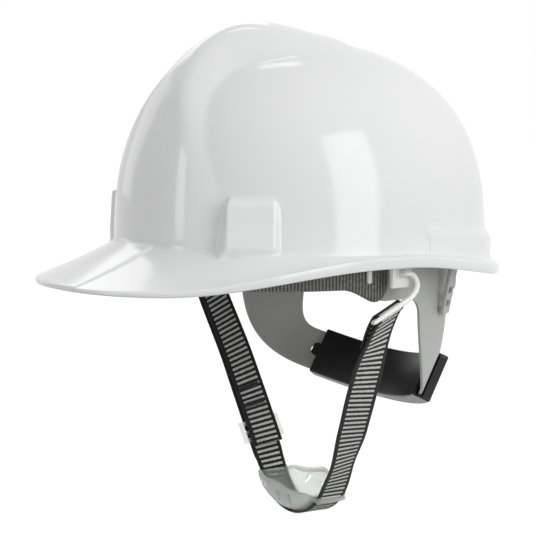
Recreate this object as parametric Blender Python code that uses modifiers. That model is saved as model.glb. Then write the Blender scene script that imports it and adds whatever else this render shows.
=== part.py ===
"""Hard hat: moulded shell, four-point suspension, nape sleeve and chin strap.

Metres, +Z up, the front of the hat towards -Y and the wearer's left towards +X.
The origin lies on the head's axis, about level with the lower rim.
A turn is an angle round that axis: 0 at the front, 90 at the wearer's left, 180 at the rear.
"""
from math import acos, asin, atan2, cos, degrees, pi, radians, sin, sqrt

import bmesh
import bpy
from mathutils import Matrix, Vector

# Fits
CLEARANCE = 0.0003
CUT_OVERRUN = 0.002
MERGE = 0.000001

# Shell: dome
WALL = 0.0026
HALF_WIDTH = 0.099
FRONT_LENGTH = 0.110
REAR_LENGTH = 0.1195
CROWN_HEIGHT = 0.137
WALL_EXPONENT = 2.9
ROOT_SIDE = 0.016
ROOT_FRONT_RISE = 0.0058
ROOT_FRONT_POWER = 1.7
ROOT_REAR_DROP = 0.011
ROOT_REAR_POWER = 1.3
NORMAL_STEP = 0.5

# Shell: visor and rim
RIM_FLANGE = 0.0085
VISOR_REACH = 0.054
VISOR_EXPONENT = 2.35
VISOR_SAG = 0.0045
EDGE_SIDE = 0.010
EDGE_FRONT_DROP = 0.012
EDGE_FRONT_EASE = (0.05, 0.85)
EDGE_REAR_DROP = 0.014
LIP_FRONT = 0.0017
LIP_REAR = 0.0055
STRIP_HALF_WIDTH = 0.0195
STRIP_EDGE = 0.002
STRIP_RAISE = 0.0010

# Shell: raised centre band, as (bearing in degrees over the crown, half width at its
# crest, half width at its foot, height)
BAND_STATIONS = (
    (0.0, 0.040, 0.058, 0.0050),
    (23.0, 0.038, 0.056, 0.0035),
    (36.0, 0.028, 0.041, 0.0040),
    (47.0, 0.012, 0.029, 0.0092),
    (58.0, 0.006, 0.026, 0.0142),
    (73.0, 0.002, 0.036, 0.0158),
    (90.0, 0.000, 0.044, 0.0068),
    (98.0, 0.000, 0.040, 0.0042),
)
BAND_STEP = 2.5

# Shell: low band round the back
NAPE_BAND_PROUD = 0.0036
NAPE_BAND_END = 108.0
NAPE_BAND_STEP = 1.6
NAPE_BAND_RAMP = (0.010, 0.018)

# Shell: front pocket bosses, with turns of the flat face's edges
BOSS_FRONT_TURN = 38.0
BOSS_REAR_TURN = 51.0
BOSS_FRONT_PROUD = 0.0095
BOSS_REAR_PROUD = 0.0035
BOSS_FRONT_RAMP = (2.0, 7.0)
BOSS_REAR_ROUND = 3.0
BOSS_SHOULDER = 0.038
BOSS_TOP = 0.0505
BOSS_LEAN = radians(9.0)

# Shell: lines of its mesh, in turns from the front, falls from the crown and shares of the visor
STRIP_LINE_TURN = 0.7
FRONT_LINE_TURN = 15.0
SIDE_LINE_MARGIN = 7.0
NAPE_LINE_MARGIN = 5.0
FRONT_LINES = 6
BOSS_LINES = 3
SIDE_LINES = 6
REAR_LINES = 9
CROWN_FALL = 6.0
WALL_FALL = 76.5
DOME_LINES = 11
ROOT_FALLS = (80.5, 83.5, 86.0, 88.0, 90.0)
VISOR_SHARES = (0.06, 0.4, 0.75, 1.0)

# Suspension keys and their pockets
FRONT_KEY_TURN = 44.5
REAR_KEY_TURN = 120.0
KEY_WIDTH = 0.016
KEY_THICKNESS = 0.0022
TONGUE_RISE = 0.016
FOOT_DROP = 0.005
HANGER_RISE = 0.013
FRONT_POCKET_INSET = 0.0010
REAR_POCKET_INSET = 0.0045
POCKET_WALL = 0.0020
POCKET_SKIRT = 0.0010

# Strap lugs
LUG_Y = 0.0065
LUG_WIDTH = 0.014
LUG_THICKNESS = 0.0023
LUG_BOTTOM = -0.0035
LUG_RISE = 0.016
LUG_INSET = 0.0045
PIVOT_Z = 0.005

# Headband, nape straps and sweatband; the gaps run from the dome's root in to the band
BAND_SIDE_GAP = 0.0164
BAND_FRONT_GAP = 0.0094
BAND_REAR_GAP = 0.0180
BAND_HALF_WIDTH = HALF_WIDTH - BAND_SIDE_GAP
BAND_FRONT = FRONT_LENGTH - BAND_FRONT_GAP
BAND_REAR = REAR_LENGTH - BAND_REAR_GAP
BAND_THICKNESS = 0.0016
BAND_TOP = 0.026
BAND_BOTTOM = -0.002
EAR_DROP = 0.010
EAR_TURNS = (76.0, 92.0, 140.0, 154.0)
STRAP_TURNS = {1: (108.0, 128.0), -1: (96.0, 121.0)}
STRAP_PULL = (0.42, 0.45)
STRAP_STEPS = 8
STRAP_HOLES = 3
STRAP_HOLE_RADIUS = 0.0022
STRAP_HOLE_PITCH = 0.0080
STRAP_HOLE_OUTSIDE = 0.0042
SWEAT_END = 93.0
FRONT_SPAN = 90.0
FRONT_STEPS = 18
SWEAT_PAD = 0.0030
SWEAT_SKIN = 0.0010
SWEAT_FOLD = 0.0020
SWEAT_OUTER_TOP = 0.009
STUD_TURN = 85.0
STUD_RADIUS = 0.0018
STUD_REACH = 0.0022
PEG_RADIUS = 0.0020
PEG_HEAD_RADIUS = 0.0036
PEG_HEAD = 0.0014
HEAD_TAPER = 0.8

# Nape sleeve, an arc about an axis that leans back
SLEEVE_LEAN = radians(29.0)
SLEEVE_RADIUS = 0.105
SLEEVE_HALF_ANGLE = radians(33.0)
SLEEVE_END_INSET = 0.0467
SLEEVE_END_Y = BAND_REAR - SLEEVE_END_INSET
SLEEVE_END_Z = -0.0622
SLEEVE_HEIGHT = 0.030
SLEEVE_DEPTH = 0.0076
SLEEVE_WALL = 0.0016
SLEEVE_STEPS = 14
STRAP_ENGAGEMENT = radians(9.0)
SLEEVE_TRAVEL = radians(4.5)
TOOTH_REACH = 0.0042
TOOTH_WIDTH = 0.0085
TOOTH_INSET = 0.0002

# Crown straps
CROWN_STRAP_WIDTH = 0.015
CROWN_STRAP_THICKNESS = 0.0012
CROWN_STRAP_GAP = 0.033
CROWN_STRAP_FALL = 2.6
CROWN_STRAP_ROUND = 0.45
CROWN_STRAP_TWIST = 0.3
CROWN_STRAP_STEPS = 28

# Chin strap
HOOK_RADIUS = 0.0016
HOOK_INSET = 0.0017
HOOK_X = HALF_WIDTH - HOOK_INSET
HOOK_HEAD_RADIUS = 0.0025
HOOK_PULL = ((0.0163, 0.0045), (0.0170, -0.0045))
HOOK_STEPS = 8
BAR_REAR = (0.0053, -0.0115)
BAR_FRONT = (-0.0154, -0.0216)
WEBBING_WIDTH = 0.0195
WEBBING_THICKNESS = 0.0014
CUP_Y = 0.0035
CUP_AXIS_Z = -0.111
STRAP_ARC_RADIUS = 0.038
LEG_LEAN = radians(31.0)
LEG_BOW = 0.0035
LEG_TILT_LENGTH = 0.045
SEWN_LENGTH = 0.022
BUCKLE_ALONG = 0.026
BUCKLE_LENGTH = 0.014
BUCKLE_BAR = 0.0016
BUCKLE_RAIL = 0.0028
RETURN_TAIL = 0.010
TAIL_BOW = 0.0030
TAIL_BOW_LENGTH = 0.070
LEG_STEPS = 10
LOOP_STEPS = 6
ARC_STEPS = 14
TAIL_STEPS = 12

# Chin cup
CUP_HALF_ANGLE = radians(54.0)
CUP_TILT = radians(-6.0)
CUP_HALF_WIDTH = 0.0175
CUP_END_SHARE = 0.75
CUP_WALL = 0.0016
CUP_SIDE_RISE = 0.016
CUP_LIP_THICKNESS = 0.0026
CUP_LIP_REACH = 0.0035
CUP_SLIP = 0.0006
VENT_SHARES = (-0.56, 0.0, 0.45)
VENT_ACROSS = 0.68
VENT_RADIUS = 0.0015
VENT_LENGTH = 0.0065
VENT_SIDES = 12

UP = Vector((0, 0, 1))
ACROSS = Vector((1, 0, 0))
SIDES = (("left", 1), ("right", -1))
SHARP_ANGLE = radians(35)
FRONT_TURNS = [FRONT_SPAN * i / FRONT_STEPS for i in range(FRONT_STEPS + 1)]


def smooth(value, low=0.0, high=1.0):
    """Ease from 0 at low to 1 at high."""
    share = min(max((value - low) / (high - low), 0.0), 1.0)
    return share * share * (3 - 2 * share)


def spread(first, last, count):
    """count + 1 even steps from first to last."""
    return [first + (last - first) * i / count for i in range(count + 1)]


def cubic(a, b, c, d, share):
    """A point of the curve from a to d that is pulled towards b and c."""
    rest = 1 - share
    return a * rest**3 + b * 3 * rest**2 * share + c * 3 * rest * share**2 + d * share**3


# Surfaces that several pieces share


def root_height(turn):
    """Height of the line where the dome meets the visor or rim."""
    ahead = cos(radians(turn))
    rise = ROOT_FRONT_RISE * max(ahead, 0.0) ** ROOT_FRONT_POWER
    drop = ROOT_REAR_DROP * max(-ahead, 0.0) ** ROOT_REAR_POWER
    return ROOT_SIDE + rise - drop


def dome_point(turn, fall):
    """Outer dome without relief; fall is 0 at the crown and 90 at the root."""
    angle = radians(turn)
    reach = sin(radians(fall))
    length = FRONT_LENGTH if cos(angle) > 0 else REAR_LENGTH
    root = root_height(turn)
    rise = max(cos(radians(fall)), 0.0) ** (2 / WALL_EXPONENT)
    return Vector((
        HALF_WIDTH * sin(angle) * reach,
        -length * cos(angle) * reach,
        root + (CROWN_HEIGHT - root) * rise,
    ))


def dome_normal(turn, fall):
    low = max(fall, 2 * NORMAL_STEP)
    along = dome_point(turn + NORMAL_STEP, low) - dome_point(turn - NORMAL_STEP, low)
    down = dome_point(turn, min(low + NORMAL_STEP, 90)) - dome_point(turn, low - NORMAL_STEP)
    return down.cross(along).normalized()


def plan_normal(turn, half_width, front, rear):
    """Outward direction, level, of an oval at a turn."""
    angle = radians(turn)
    length = front if cos(angle) > 0 else rear
    return Vector((sin(angle) / half_width, -cos(angle) / length, 0)).normalized()


def band_section(bearing):
    """Crest half width, foot half width and height of the centre band at a bearing."""
    last = len(BAND_STATIONS) - 1
    i = max(k for k in range(last) if BAND_STATIONS[k][0] <= bearing or k == 0)
    before, near, far, after = (BAND_STATIONS[min(max(k, 0), last)] for k in range(i - 1, i + 3))
    span = far[0] - near[0]
    share = min(max((bearing - near[0]) / span, 0.0), 1.0)
    section = []
    for k in (1, 2, 3):
        leave = (far[k] - before[k]) / (far[0] - before[0]) * span
        arrive = (after[k] - near[k]) / (after[0] - near[0]) * span
        section.append(cubic(near[k], near[k] + leave / 3, far[k] - arrive / 3, far[k], share))
    return section


def band_relief(point):
    """Height of the raised centre band over the bare dome."""
    bearing = degrees(atan2(point.z / CROWN_HEIGHT, -point.y / FRONT_LENGTH))
    crest, foot, height = band_section(bearing)
    end = BAND_STATIONS[-1][0]
    height *= 1 - smooth(bearing, end, end + BAND_STEP)
    return height * (1 - smooth(abs(point.x), crest, foot))


def boss_plane():
    """The left front pocket's flat face: a point on it, its level direction and its outward one."""
    front, rear = (
        dome_point(turn, 90) + plan_normal(turn, HALF_WIDTH, FRONT_LENGTH, REAR_LENGTH) * proud
        for turn, proud in ((BOSS_FRONT_TURN, BOSS_FRONT_PROUD), (BOSS_REAR_TURN, BOSS_REAR_PROUD))
    )
    along = (rear - front) * Vector((1, 1, 0))
    along.normalize()
    return front, along, along.cross(UP) * cos(BOSS_LEAN) + UP * sin(BOSS_LEAN)


def boss_relief(turn, point, normal):
    """Height of a front pocket's boss over the bare dome."""
    origin, _, out = boss_plane()
    climb = smooth(point.z, root_height(turn), BOSS_TOP)
    ramp = BOSS_FRONT_RAMP[1] + (BOSS_FRONT_RAMP[0] - BOSS_FRONT_RAMP[1]) * climb
    hold = smooth(turn, BOSS_FRONT_TURN - ramp, BOSS_FRONT_TURN)
    hold *= 1 - smooth(turn, BOSS_REAR_TURN, BOSS_REAR_TURN + BOSS_REAR_ROUND)
    hold *= 1 - smooth(point.z, BOSS_SHOULDER, BOSS_TOP)
    return hold * max((origin - point).dot(out) / normal.dot(out), 0.0) if hold > 0 else 0.0


def nape_band_relief(turn, height):
    """Height of the low band round the back, over the bare dome."""
    reach = smooth(turn, NAPE_BAND_END - NAPE_BAND_STEP / 2, NAPE_BAND_END + NAPE_BAND_STEP / 2)
    return NAPE_BAND_PROUD * reach * (1 - smooth(height, *NAPE_BAND_RAMP))


def shell_point(turn, fall):
    """Outer dome with its relief."""
    point = dome_point(turn, fall)
    normal = dome_normal(turn, fall)
    relief = band_relief(point) + nape_band_relief(turn, point.z - root_height(turn))
    return point + normal * (relief + boss_relief(turn, point + normal * relief, normal))


def edge_point(turn):
    """Lowest outer line of the visor and rim."""
    angle = radians(turn)
    ahead = cos(angle)
    power = 2 / VISOR_EXPONENT if ahead > 0 else 1.0
    length = FRONT_LENGTH + VISOR_REACH if ahead > 0 else REAR_LENGTH + RIM_FLANGE
    drop = EDGE_FRONT_DROP * smooth(ahead, *EDGE_FRONT_EASE) + EDGE_REAR_DROP * smooth(-ahead)
    return Vector((
        (HALF_WIDTH + RIM_FLANGE) * sin(angle) ** power,
        -length * (1 if ahead > 0 else -1) * abs(ahead) ** power,
        EDGE_SIDE - drop,
    ))


def lip_height(turn):
    return LIP_REAR + (LIP_FRONT - LIP_REAR) * smooth(cos(radians(turn)))


def visor_point(turn, share):
    """Top of the visor or rim, from the root at 0 to the top of the lip at 1."""
    root = shell_point(turn, 90)
    point = root.lerp(edge_point(turn) + UP * lip_height(turn), share)
    ahead = max(cos(radians(turn)), 0.0)
    point.z -= VISOR_SAG * ahead * 4 * share * (1 - share)
    if ahead > 0:
        strip = 1 - smooth(point.x, STRIP_HALF_WIDTH - STRIP_EDGE / 2, STRIP_HALF_WIDTH + STRIP_EDGE / 2)
        point.z += STRIP_RAISE * strip * (1 - share / 2)
    return point


def band_point(turn, z, offset=0.0):
    """A point at offset outside the headband's outer face."""
    angle = radians(turn)
    length = BAND_FRONT if cos(angle) > 0 else BAND_REAR
    base = Vector((BAND_HALF_WIDTH * sin(angle), -length * cos(angle), z))
    return base + plan_normal(turn, BAND_HALF_WIDTH, BAND_FRONT, BAND_REAR) * offset


def band_bottom(turn):
    """Lower edge of the headband, lowest above the ear and raised behind it."""
    ear = smooth(abs(turn), *EAR_TURNS[:2]) * (1 - smooth(abs(turn), *EAR_TURNS[2:]))
    return BAND_BOTTOM - EAR_DROP * ear


# Building helpers


def material(name, colour, roughness):
    made = bpy.data.materials.new(name)
    made.use_nodes = True
    shader = made.node_tree.nodes["Principled BSDF"]
    shader.inputs["Base Color"].default_value = (*colour, 1)
    shader.inputs["Roughness"].default_value = roughness
    shader.inputs["Metallic"].default_value = 0.0
    return made


def add_object(name, mesh, finish, collection, pivot=None):
    made = bpy.data.objects.new(name, mesh)
    collection.objects.link(made)
    if finish:
        mesh.materials.append(finish)
    if pivot:
        made.parent = pivot
        made.location = -pivot.location
    mesh.shade_smooth()
    mesh.set_sharp_from_angle(angle=SHARP_ANGLE)
    return made


def grid_mesh(name, rows):
    """A sheet of quads from rows of points."""
    shape = bmesh.new()
    made = [[shape.verts.new(p) for p in row] for row in rows]
    for upper, lower in zip(made, made[1:]):
        for i in range(len(upper) - 1):
            shape.faces.new((upper[i], lower[i], lower[i + 1], upper[i + 1]))
    bmesh.ops.recalc_face_normals(shape, faces=shape.faces)
    mesh = bpy.data.meshes.new(name)
    shape.to_mesh(mesh)
    shape.free()
    return mesh


def loft_mesh(name, sections):
    """A closed solid through like sections, each a closed ring of points."""
    shape = bmesh.new()
    rings = [[shape.verts.new(p) for p in section] for section in sections]
    count = len(sections[0])
    for near, far in zip(rings, rings[1:]):
        for i in range(count):
            j = (i + 1) % count
            shape.faces.new((near[i], near[j], far[j], far[i]))
    shape.faces.new(rings[0])
    shape.faces.new(rings[-1])
    bmesh.ops.recalc_face_normals(shape, faces=shape.faces)
    mesh = bpy.data.meshes.new(name)
    shape.to_mesh(mesh)
    shape.free()
    return mesh


def box_mesh(name, low, high, place=Matrix()):
    """A box between two corners of its own frame."""
    shape = bmesh.new()
    bmesh.ops.create_cube(shape, size=1)
    size = Vector(high) - Vector(low)
    middle = (Vector(high) + Vector(low)) / 2
    fit = place @ Matrix.Translation(middle) @ Matrix.Diagonal((*size, 1))
    bmesh.ops.transform(shape, matrix=fit, verts=shape.verts)
    bmesh.ops.recalc_face_normals(shape, faces=shape.faces)
    mesh = bpy.data.meshes.new(name)
    shape.to_mesh(mesh)
    shape.free()
    return mesh


def cylinder_mesh(name, start, end, radius, sides=20):
    """A round bar from start to end."""
    shape = bmesh.new()
    axis = end - start
    bmesh.ops.create_cone(
        shape, cap_ends=True, segments=sides, radius1=radius, radius2=radius, depth=axis.length
    )
    turn = axis.to_track_quat("Z", "Y").to_matrix().to_4x4()
    bmesh.ops.transform(shape, matrix=Matrix.Translation((start + end) / 2) @ turn, verts=shape.verts)
    mesh = bpy.data.meshes.new(name)
    shape.to_mesh(mesh)
    shape.free()
    return mesh


def axes_matrix(origin, x, y, z):
    """A frame with the given directions as its columns."""
    return Matrix((
        (x.x, y.x, z.x, origin.x),
        (x.y, y.y, z.y, origin.y),
        (x.z, y.z, z.z, origin.z),
        (0, 0, 0, 1),
    ))


def cutter(name, mesh):
    made = add_object(name, mesh, None, CUTTERS)
    made.hide_render = True
    made.display_type = "WIRE"
    return made


def combine(target, tool, operation):
    change = target.modifiers.new(tool.name, "BOOLEAN")
    change.operation = operation
    change.solver = "EXACT"
    change.object = tool


def thicken(target, thickness, offset):
    change = target.modifiers.new("thickness", "SOLIDIFY")
    change.thickness = thickness
    change.offset = offset


def mirror(target):
    change = target.modifiers.new("other side", "MIRROR")
    change.use_axis = (True, False, False)
    change.use_clip = True
    change.merge_threshold = 0.00005


def pivot_empty(name, place):
    made = bpy.data.objects.new(name, None)
    made.location = place
    PARTS.objects.link(made)
    return made


# Shell


def shell_turns():
    """Turns of the shell's mesh lines, closest where the relief changes fastest."""
    crease = degrees(asin(STRIP_HALF_WIDTH / HALF_WIDTH))
    step = NAPE_BAND_STEP / 2
    boss_end = BOSS_REAR_TURN + BOSS_REAR_ROUND
    return (
        [0.0, crease / 2, crease - STRIP_LINE_TURN, crease + STRIP_LINE_TURN]
        + spread(FRONT_LINE_TURN, BOSS_FRONT_TURN, FRONT_LINES)
        + spread(BOSS_FRONT_TURN, BOSS_REAR_TURN, BOSS_LINES)[1:]
        + [BOSS_REAR_TURN + BOSS_REAR_ROUND / 2, boss_end]
        + spread(boss_end + SIDE_LINE_MARGIN, NAPE_BAND_END - NAPE_LINE_MARGIN, SIDE_LINES)
        + [NAPE_BAND_END - step, NAPE_BAND_END + step]
        + spread(NAPE_BAND_END + SIDE_LINE_MARGIN, 180.0, REAR_LINES)
    )


def shell_rows():
    """Rows of the left half's points, from round the crown down to the edge."""
    turns = shell_turns()
    falls = spread(CROWN_FALL, WALL_FALL, DOME_LINES) + list(ROOT_FALLS)
    rows = [[shell_point(turn, fall) for turn in turns] for fall in falls]
    rows += [[visor_point(turn, share) for turn in turns] for share in VISOR_SHARES]
    rows.append([edge_point(turn) for turn in turns])
    for row in rows:
        row[0].x = 0.0
        row[-1].x = 0.0
    return rows


def shell_sheet():
    """Left half of the outer surface, open at the symmetry plane."""
    rows = shell_rows()
    mesh = grid_mesh("shell", rows)
    shape = bmesh.new()
    shape.from_mesh(mesh)
    shape.verts.ensure_lookup_table()
    crown = shape.verts.new((0, 0, shell_point(0, 0).z))
    ring = shape.verts[: len(rows[0])]
    for left, right in zip(ring, ring[1:]):
        shape.faces.new((crown, left, right))
    bmesh.ops.recalc_face_normals(shape, faces=shape.faces)
    if sum(face.normal.z for face in shape.faces) < 0:
        bmesh.ops.reverse_faces(shape, faces=shape.faces)
    shape.to_mesh(mesh)
    shape.free()
    return mesh


def boss_core(side):
    """The solid behind a front pocket's flat face, ending inside the shell's wall."""
    origin, _, out = boss_plane()
    place = key_frame(1, FRONT_KEY_TURN)
    half = KEY_WIDTH / 2 + CLEARANCE + POCKET_WALL
    back = -FRONT_POCKET_INSET - KEY_THICKNESS - CLEARANCE - POCKET_WALL
    rows = []
    for height in (-WALL - POCKET_SKIRT, TONGUE_RISE + CLEARANCE + POCKET_WALL):
        row = [place @ Vector((x, back, height)) for x in (-half, half)]
        for near in reversed(row):
            gap = (origin - out * WALL / 2 - near).dot(out) / place.col[1].xyz.dot(out)
            row.append(near + place.col[1].xyz * gap)
        rows.append([Matrix.Diagonal((side, 1, 1, 1)) @ p for p in row])
    return loft_mesh("boss", rows)


def key_frame(side, turn):
    """Frame of a pocket: X along the wall, Y outward, Z up, at the dome's root."""
    base = dome_point(turn, 90)
    outward = plan_normal(turn, HALF_WIDTH, FRONT_LENGTH, REAR_LENGTH)
    flip = Vector((side, 1, 1))
    base = Vector((base.x * flip.x, base.y, base.z))
    outward = Vector((outward.x * flip.x, outward.y, 0))
    return axes_matrix(base, outward.cross(UP), outward, UP)


def lug_frame(side):
    turn = degrees(acos(-LUG_Y / REAR_LENGTH))
    base = dome_point(turn, 90)
    base.x *= side
    outward = ACROSS * side
    return axes_matrix(base, outward.cross(UP), outward, UP)


POCKETS = tuple(
    (end + side_name, side, turn, inset)
    for side_name, side in SIDES
    for end, turn, inset in (
        ("front_", FRONT_KEY_TURN, FRONT_POCKET_INSET),
        ("rear_", REAR_KEY_TURN, REAR_POCKET_INSET),
    )
)


def pocket_block(name, place, width, thickness, inset, rise):
    """Walls of a socket inside the rim for a tongue of the given size."""
    half = width / 2 + CLEARANCE + POCKET_WALL
    inner = -inset - thickness - CLEARANCE - POCKET_WALL
    low = (-half, inner, -WALL - POCKET_SKIRT)
    return box_mesh(name, low, (half, -WALL / 2, rise + CLEARANCE + POCKET_WALL), place)


def pocket_slot(name, place, width, thickness, inset, rise):
    """Room for a tongue of the given size, open below."""
    half = width / 2 + CLEARANCE
    low = (-half, -inset - thickness - CLEARANCE, key_foot() - CUT_OVERRUN)
    return box_mesh(name, low, (half, -inset + CLEARANCE, rise + CLEARANCE), place)


def build_shell(finish):
    shell = add_object("shell", shell_sheet(), finish, PARTS)
    mirror(shell)
    thicken(shell, WALL, -1)
    key = (KEY_WIDTH, KEY_THICKNESS)
    sockets = []
    for name, side, turn, inset in POCKETS:
        sockets.append((name, key_frame(side, turn), *key, inset, TONGUE_RISE))
    lug = (LUG_WIDTH, LUG_THICKNESS, LUG_INSET, LUG_RISE)
    sockets += [(side_name + "_lug", lug_frame(side), *lug) for side_name, side in SIDES]
    for side_name, side in SIDES:
        combine(shell, cutter(side_name + "_boss", boss_core(side)), "UNION")
    for socket in sockets:
        if not socket[0].startswith("front"):
            combine(shell, cutter(socket[0] + "_block", pocket_block(*socket)), "UNION")
    for socket in sockets:
        combine(shell, cutter(socket[0] + "_slot", pocket_slot(*socket)), "DIFFERENCE")


# Suspension


def hanger_reach(turn):
    """Distance from the dome's root in to the headband's outer face, square to the dome."""
    base = dome_point(turn, 90)
    outward = plan_normal(turn, HALF_WIDTH, FRONT_LENGTH, REAR_LENGTH)
    length = BAND_FRONT if base.y < 0 else BAND_REAR
    a = (outward.x / BAND_HALF_WIDTH) ** 2 + (outward.y / length) ** 2
    b = -2 * (base.x * outward.x / BAND_HALF_WIDTH**2 + base.y * outward.y / length**2)
    c = (base.x / BAND_HALF_WIDTH) ** 2 + (base.y / length) ** 2 - 1
    return (-b - sqrt(b * b - 4 * a * c)) / (2 * a)


def key_foot():
    """Height of the key's foot under the root."""
    return -WALL - FOOT_DROP


def peg_height():
    return key_foot() + HANGER_RISE - PEG_HEAD_RADIUS


def build_key(name, side, turn, inset, finish):
    """A bent strip: tongue up into the pocket, foot in under the rim, hanger on the headband."""
    reach = -hanger_reach(turn) + CLEARANCE
    foot = key_foot()
    tongue = -inset
    outline = [
        (tongue, TONGUE_RISE),
        (tongue, foot),
        (reach, foot),
        (reach, foot + HANGER_RISE),
        (reach + KEY_THICKNESS, foot + HANGER_RISE),
        (reach + KEY_THICKNESS, foot + KEY_THICKNESS),
        (tongue - KEY_THICKNESS, foot + KEY_THICKNESS),
        (tongue - KEY_THICKNESS, TONGUE_RISE),
    ]
    place = key_frame(side, turn)
    ends = (-KEY_WIDTH / 2, KEY_WIDTH / 2)
    mesh = loft_mesh(name, [[place @ Vector((x, y, z)) for y, z in outline] for x in ends])
    key = add_object(name, mesh, finish, PARTS)
    combine(key, cutter(name + "_hole", peg_hole(side, turn)), "DIFFERENCE")


def peg_hole(side, turn):
    place = key_frame(side, turn)
    reach = -hanger_reach(turn)
    start = place @ Vector((0, reach - 2 * BAND_THICKNESS, peg_height()))
    end = place @ Vector((0, reach + 2 * KEY_THICKNESS, peg_height()))
    return cylinder_mesh("peg_hole", start, end, PEG_RADIUS + CLEARANCE)


def build_peg(name, side, turn, finish):
    """A headed peg through the key's hanger, flush with the headband's inner face."""
    reach = -hanger_reach(turn)
    place = key_frame(side, turn)
    seat = reach + CLEARANCE + KEY_THICKNESS + CLEARANCE
    profile = [
        (0, reach - BAND_THICKNESS),
        (PEG_RADIUS, reach - BAND_THICKNESS),
        (PEG_RADIUS, seat),
        (PEG_HEAD_RADIUS, seat),
        (PEG_HEAD_RADIUS * HEAD_TAPER, seat + PEG_HEAD),
        (0, seat + PEG_HEAD),
    ]
    turned(name, profile, place @ Matrix.Translation((0, 0, peg_height())), finish)


def turned(name, profile, place, finish, steps=20):
    """Revolve (radius, height along Y) points about the frame's Y axis."""
    shape = bmesh.new()
    verts = [shape.verts.new((r, y, 0)) for r, y in profile]
    edges = [shape.edges.new(pair) for pair in zip(verts, verts[1:])]
    bmesh.ops.spin(
        shape, geom=verts + edges, axis=(0, 1, 0), cent=(0, 0, 0), angle=2 * pi, steps=steps, use_merge=True
    )
    bmesh.ops.remove_doubles(shape, verts=shape.verts, dist=MERGE)
    bmesh.ops.transform(shape, matrix=place, verts=shape.verts)
    bmesh.ops.recalc_face_normals(shape, faces=shape.faces)
    mesh = bpy.data.meshes.new(name)
    shape.to_mesh(mesh)
    shape.free()
    return add_object(name, mesh, finish, PARTS)


def sleeve_frame():
    """Arc frame of the nape sleeve: Z is the arc's axis, Y points to its rear."""
    lean_up = Vector((0, sin(SLEEVE_LEAN), cos(SLEEVE_LEAN)))
    back = Vector((0, cos(SLEEVE_LEAN), -sin(SLEEVE_LEAN)))
    end = Vector((0, SLEEVE_END_Y, SLEEVE_END_Z))
    return axes_matrix(end - back * SLEEVE_RADIUS * cos(SLEEVE_HALF_ANGLE), ACROSS, back, lean_up)


def sleeve_point(angle, radius, height):
    """A point of the sleeve's arc; angle 0 is the rear, positive towards the left."""
    return sleeve_frame() @ Vector((radius * sin(angle), radius * cos(angle), height))


def strap_rows(turns):
    """Rows of one nape strap, from the headband's lower edge down into the sleeve."""
    half = SLEEVE_HEIGHT / 2 - SLEEVE_WALL - CLEARANCE
    top = [band_point(turn, band_bottom(turn)) for turn in turns]
    count = len(turns) - 1
    radius = SLEEVE_RADIUS + BAND_THICKNESS / 2

    def socket(angle):
        return [sleeve_point(angle, radius, -half + 2 * half * i / count) for i in range(count + 1)]

    mouth_angle = SLEEVE_HALF_ANGLE + SLEEVE_TRAVEL
    mouth = socket(mouth_angle)
    heading = (socket(mouth_angle - radians(NORMAL_STEP))[0] - mouth[0]).normalized()
    rows = []
    for share in spread(0.0, 1.0, STRAP_STEPS)[1:-1]:
        row = []
        for start, end in zip(top, mouth):
            pull = (end - start).length
            first = start - UP * pull * STRAP_PULL[0]
            last = end - heading * pull * STRAP_PULL[1]
            row.append(cubic(start, first, last, end, share))
        rows.append(row)
    inside = spread(mouth_angle, SLEEVE_HALF_ANGLE - STRAP_ENGAGEMENT, 4)
    return rows + [socket(angle) for angle in inside]


def strap_hole(side, count):
    """One of a nape strap's size holes, counted from the one just outside the sleeve."""
    outside = STRAP_HOLE_OUTSIDE - STRAP_HOLE_PITCH * count
    angle = side * (SLEEVE_HALF_ANGLE + outside / SLEEVE_RADIUS)
    start = sleeve_point(angle, SLEEVE_RADIUS - BAND_THICKNESS, 0)
    end = sleeve_point(angle, SLEEVE_RADIUS + BAND_THICKNESS, 0)
    return cylinder_mesh("strap_hole", start, end, STRAP_HOLE_RADIUS, 12)


def build_headband(finish):
    """One moulded strip: a ring with two nape straps growing out of its lower edge."""
    shape = bmesh.new()
    for _, side in SIDES:
        strap_turns = spread(*STRAP_TURNS[side], 5)
        behind = spread(strap_turns[-1] + 7, 180.0, 6)
        between = spread(FRONT_TURNS[-1], strap_turns[0], 3)[1:-1]
        turns = FRONT_TURNS + between + strap_turns + behind
        ring = []
        for share in (1.0, 0.5, 0.0):
            heights = [band_bottom(turn) + (BAND_TOP - band_bottom(turn)) * share for turn in turns]
            ring.append([band_point(turn, height) for turn, height in zip(turns, heights)])
            ring[-1][0].x = 0.0
            ring[-1][-1].x = 0.0
        flip = Matrix.Diagonal((side, 1, 1, 1))
        made = [[shape.verts.new(flip @ p) for p in row] for row in ring]
        first = len(FRONT_TURNS) + len(between)
        strap = [made[-1][first:first + len(strap_turns)]]
        strap += [[shape.verts.new(flip @ p) for p in row] for row in strap_rows(strap_turns)]
        for rows in (made, strap):
            for upper, lower in zip(rows, rows[1:]):
                for i in range(len(upper) - 1):
                    shape.faces.new((upper[i], lower[i], lower[i + 1], upper[i + 1]))
    bmesh.ops.remove_doubles(shape, verts=shape.verts, dist=MERGE)
    bmesh.ops.recalc_face_normals(shape, faces=shape.faces)
    shape.faces.ensure_lookup_table()
    if shape.faces[0].normal.dot(shape.faces[0].calc_center_median()) < 0:
        bmesh.ops.reverse_faces(shape, faces=shape.faces)
    mesh = bpy.data.meshes.new("headband")
    shape.to_mesh(mesh)
    shape.free()
    band = add_object("headband", mesh, finish, PARTS)
    thicken(band, BAND_THICKNESS, -1)
    for name, side, turn, inset in POCKETS:
        combine(band, cutter(name + "_peg_hole", peg_hole(side, turn)), "DIFFERENCE")
    for side_name, side in SIDES:
        for count in range(STRAP_HOLES):
            hole = cutter(f"{side_name}_strap_hole_{count}", strap_hole(side, count))
            combine(band, hole, "DIFFERENCE")


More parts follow.
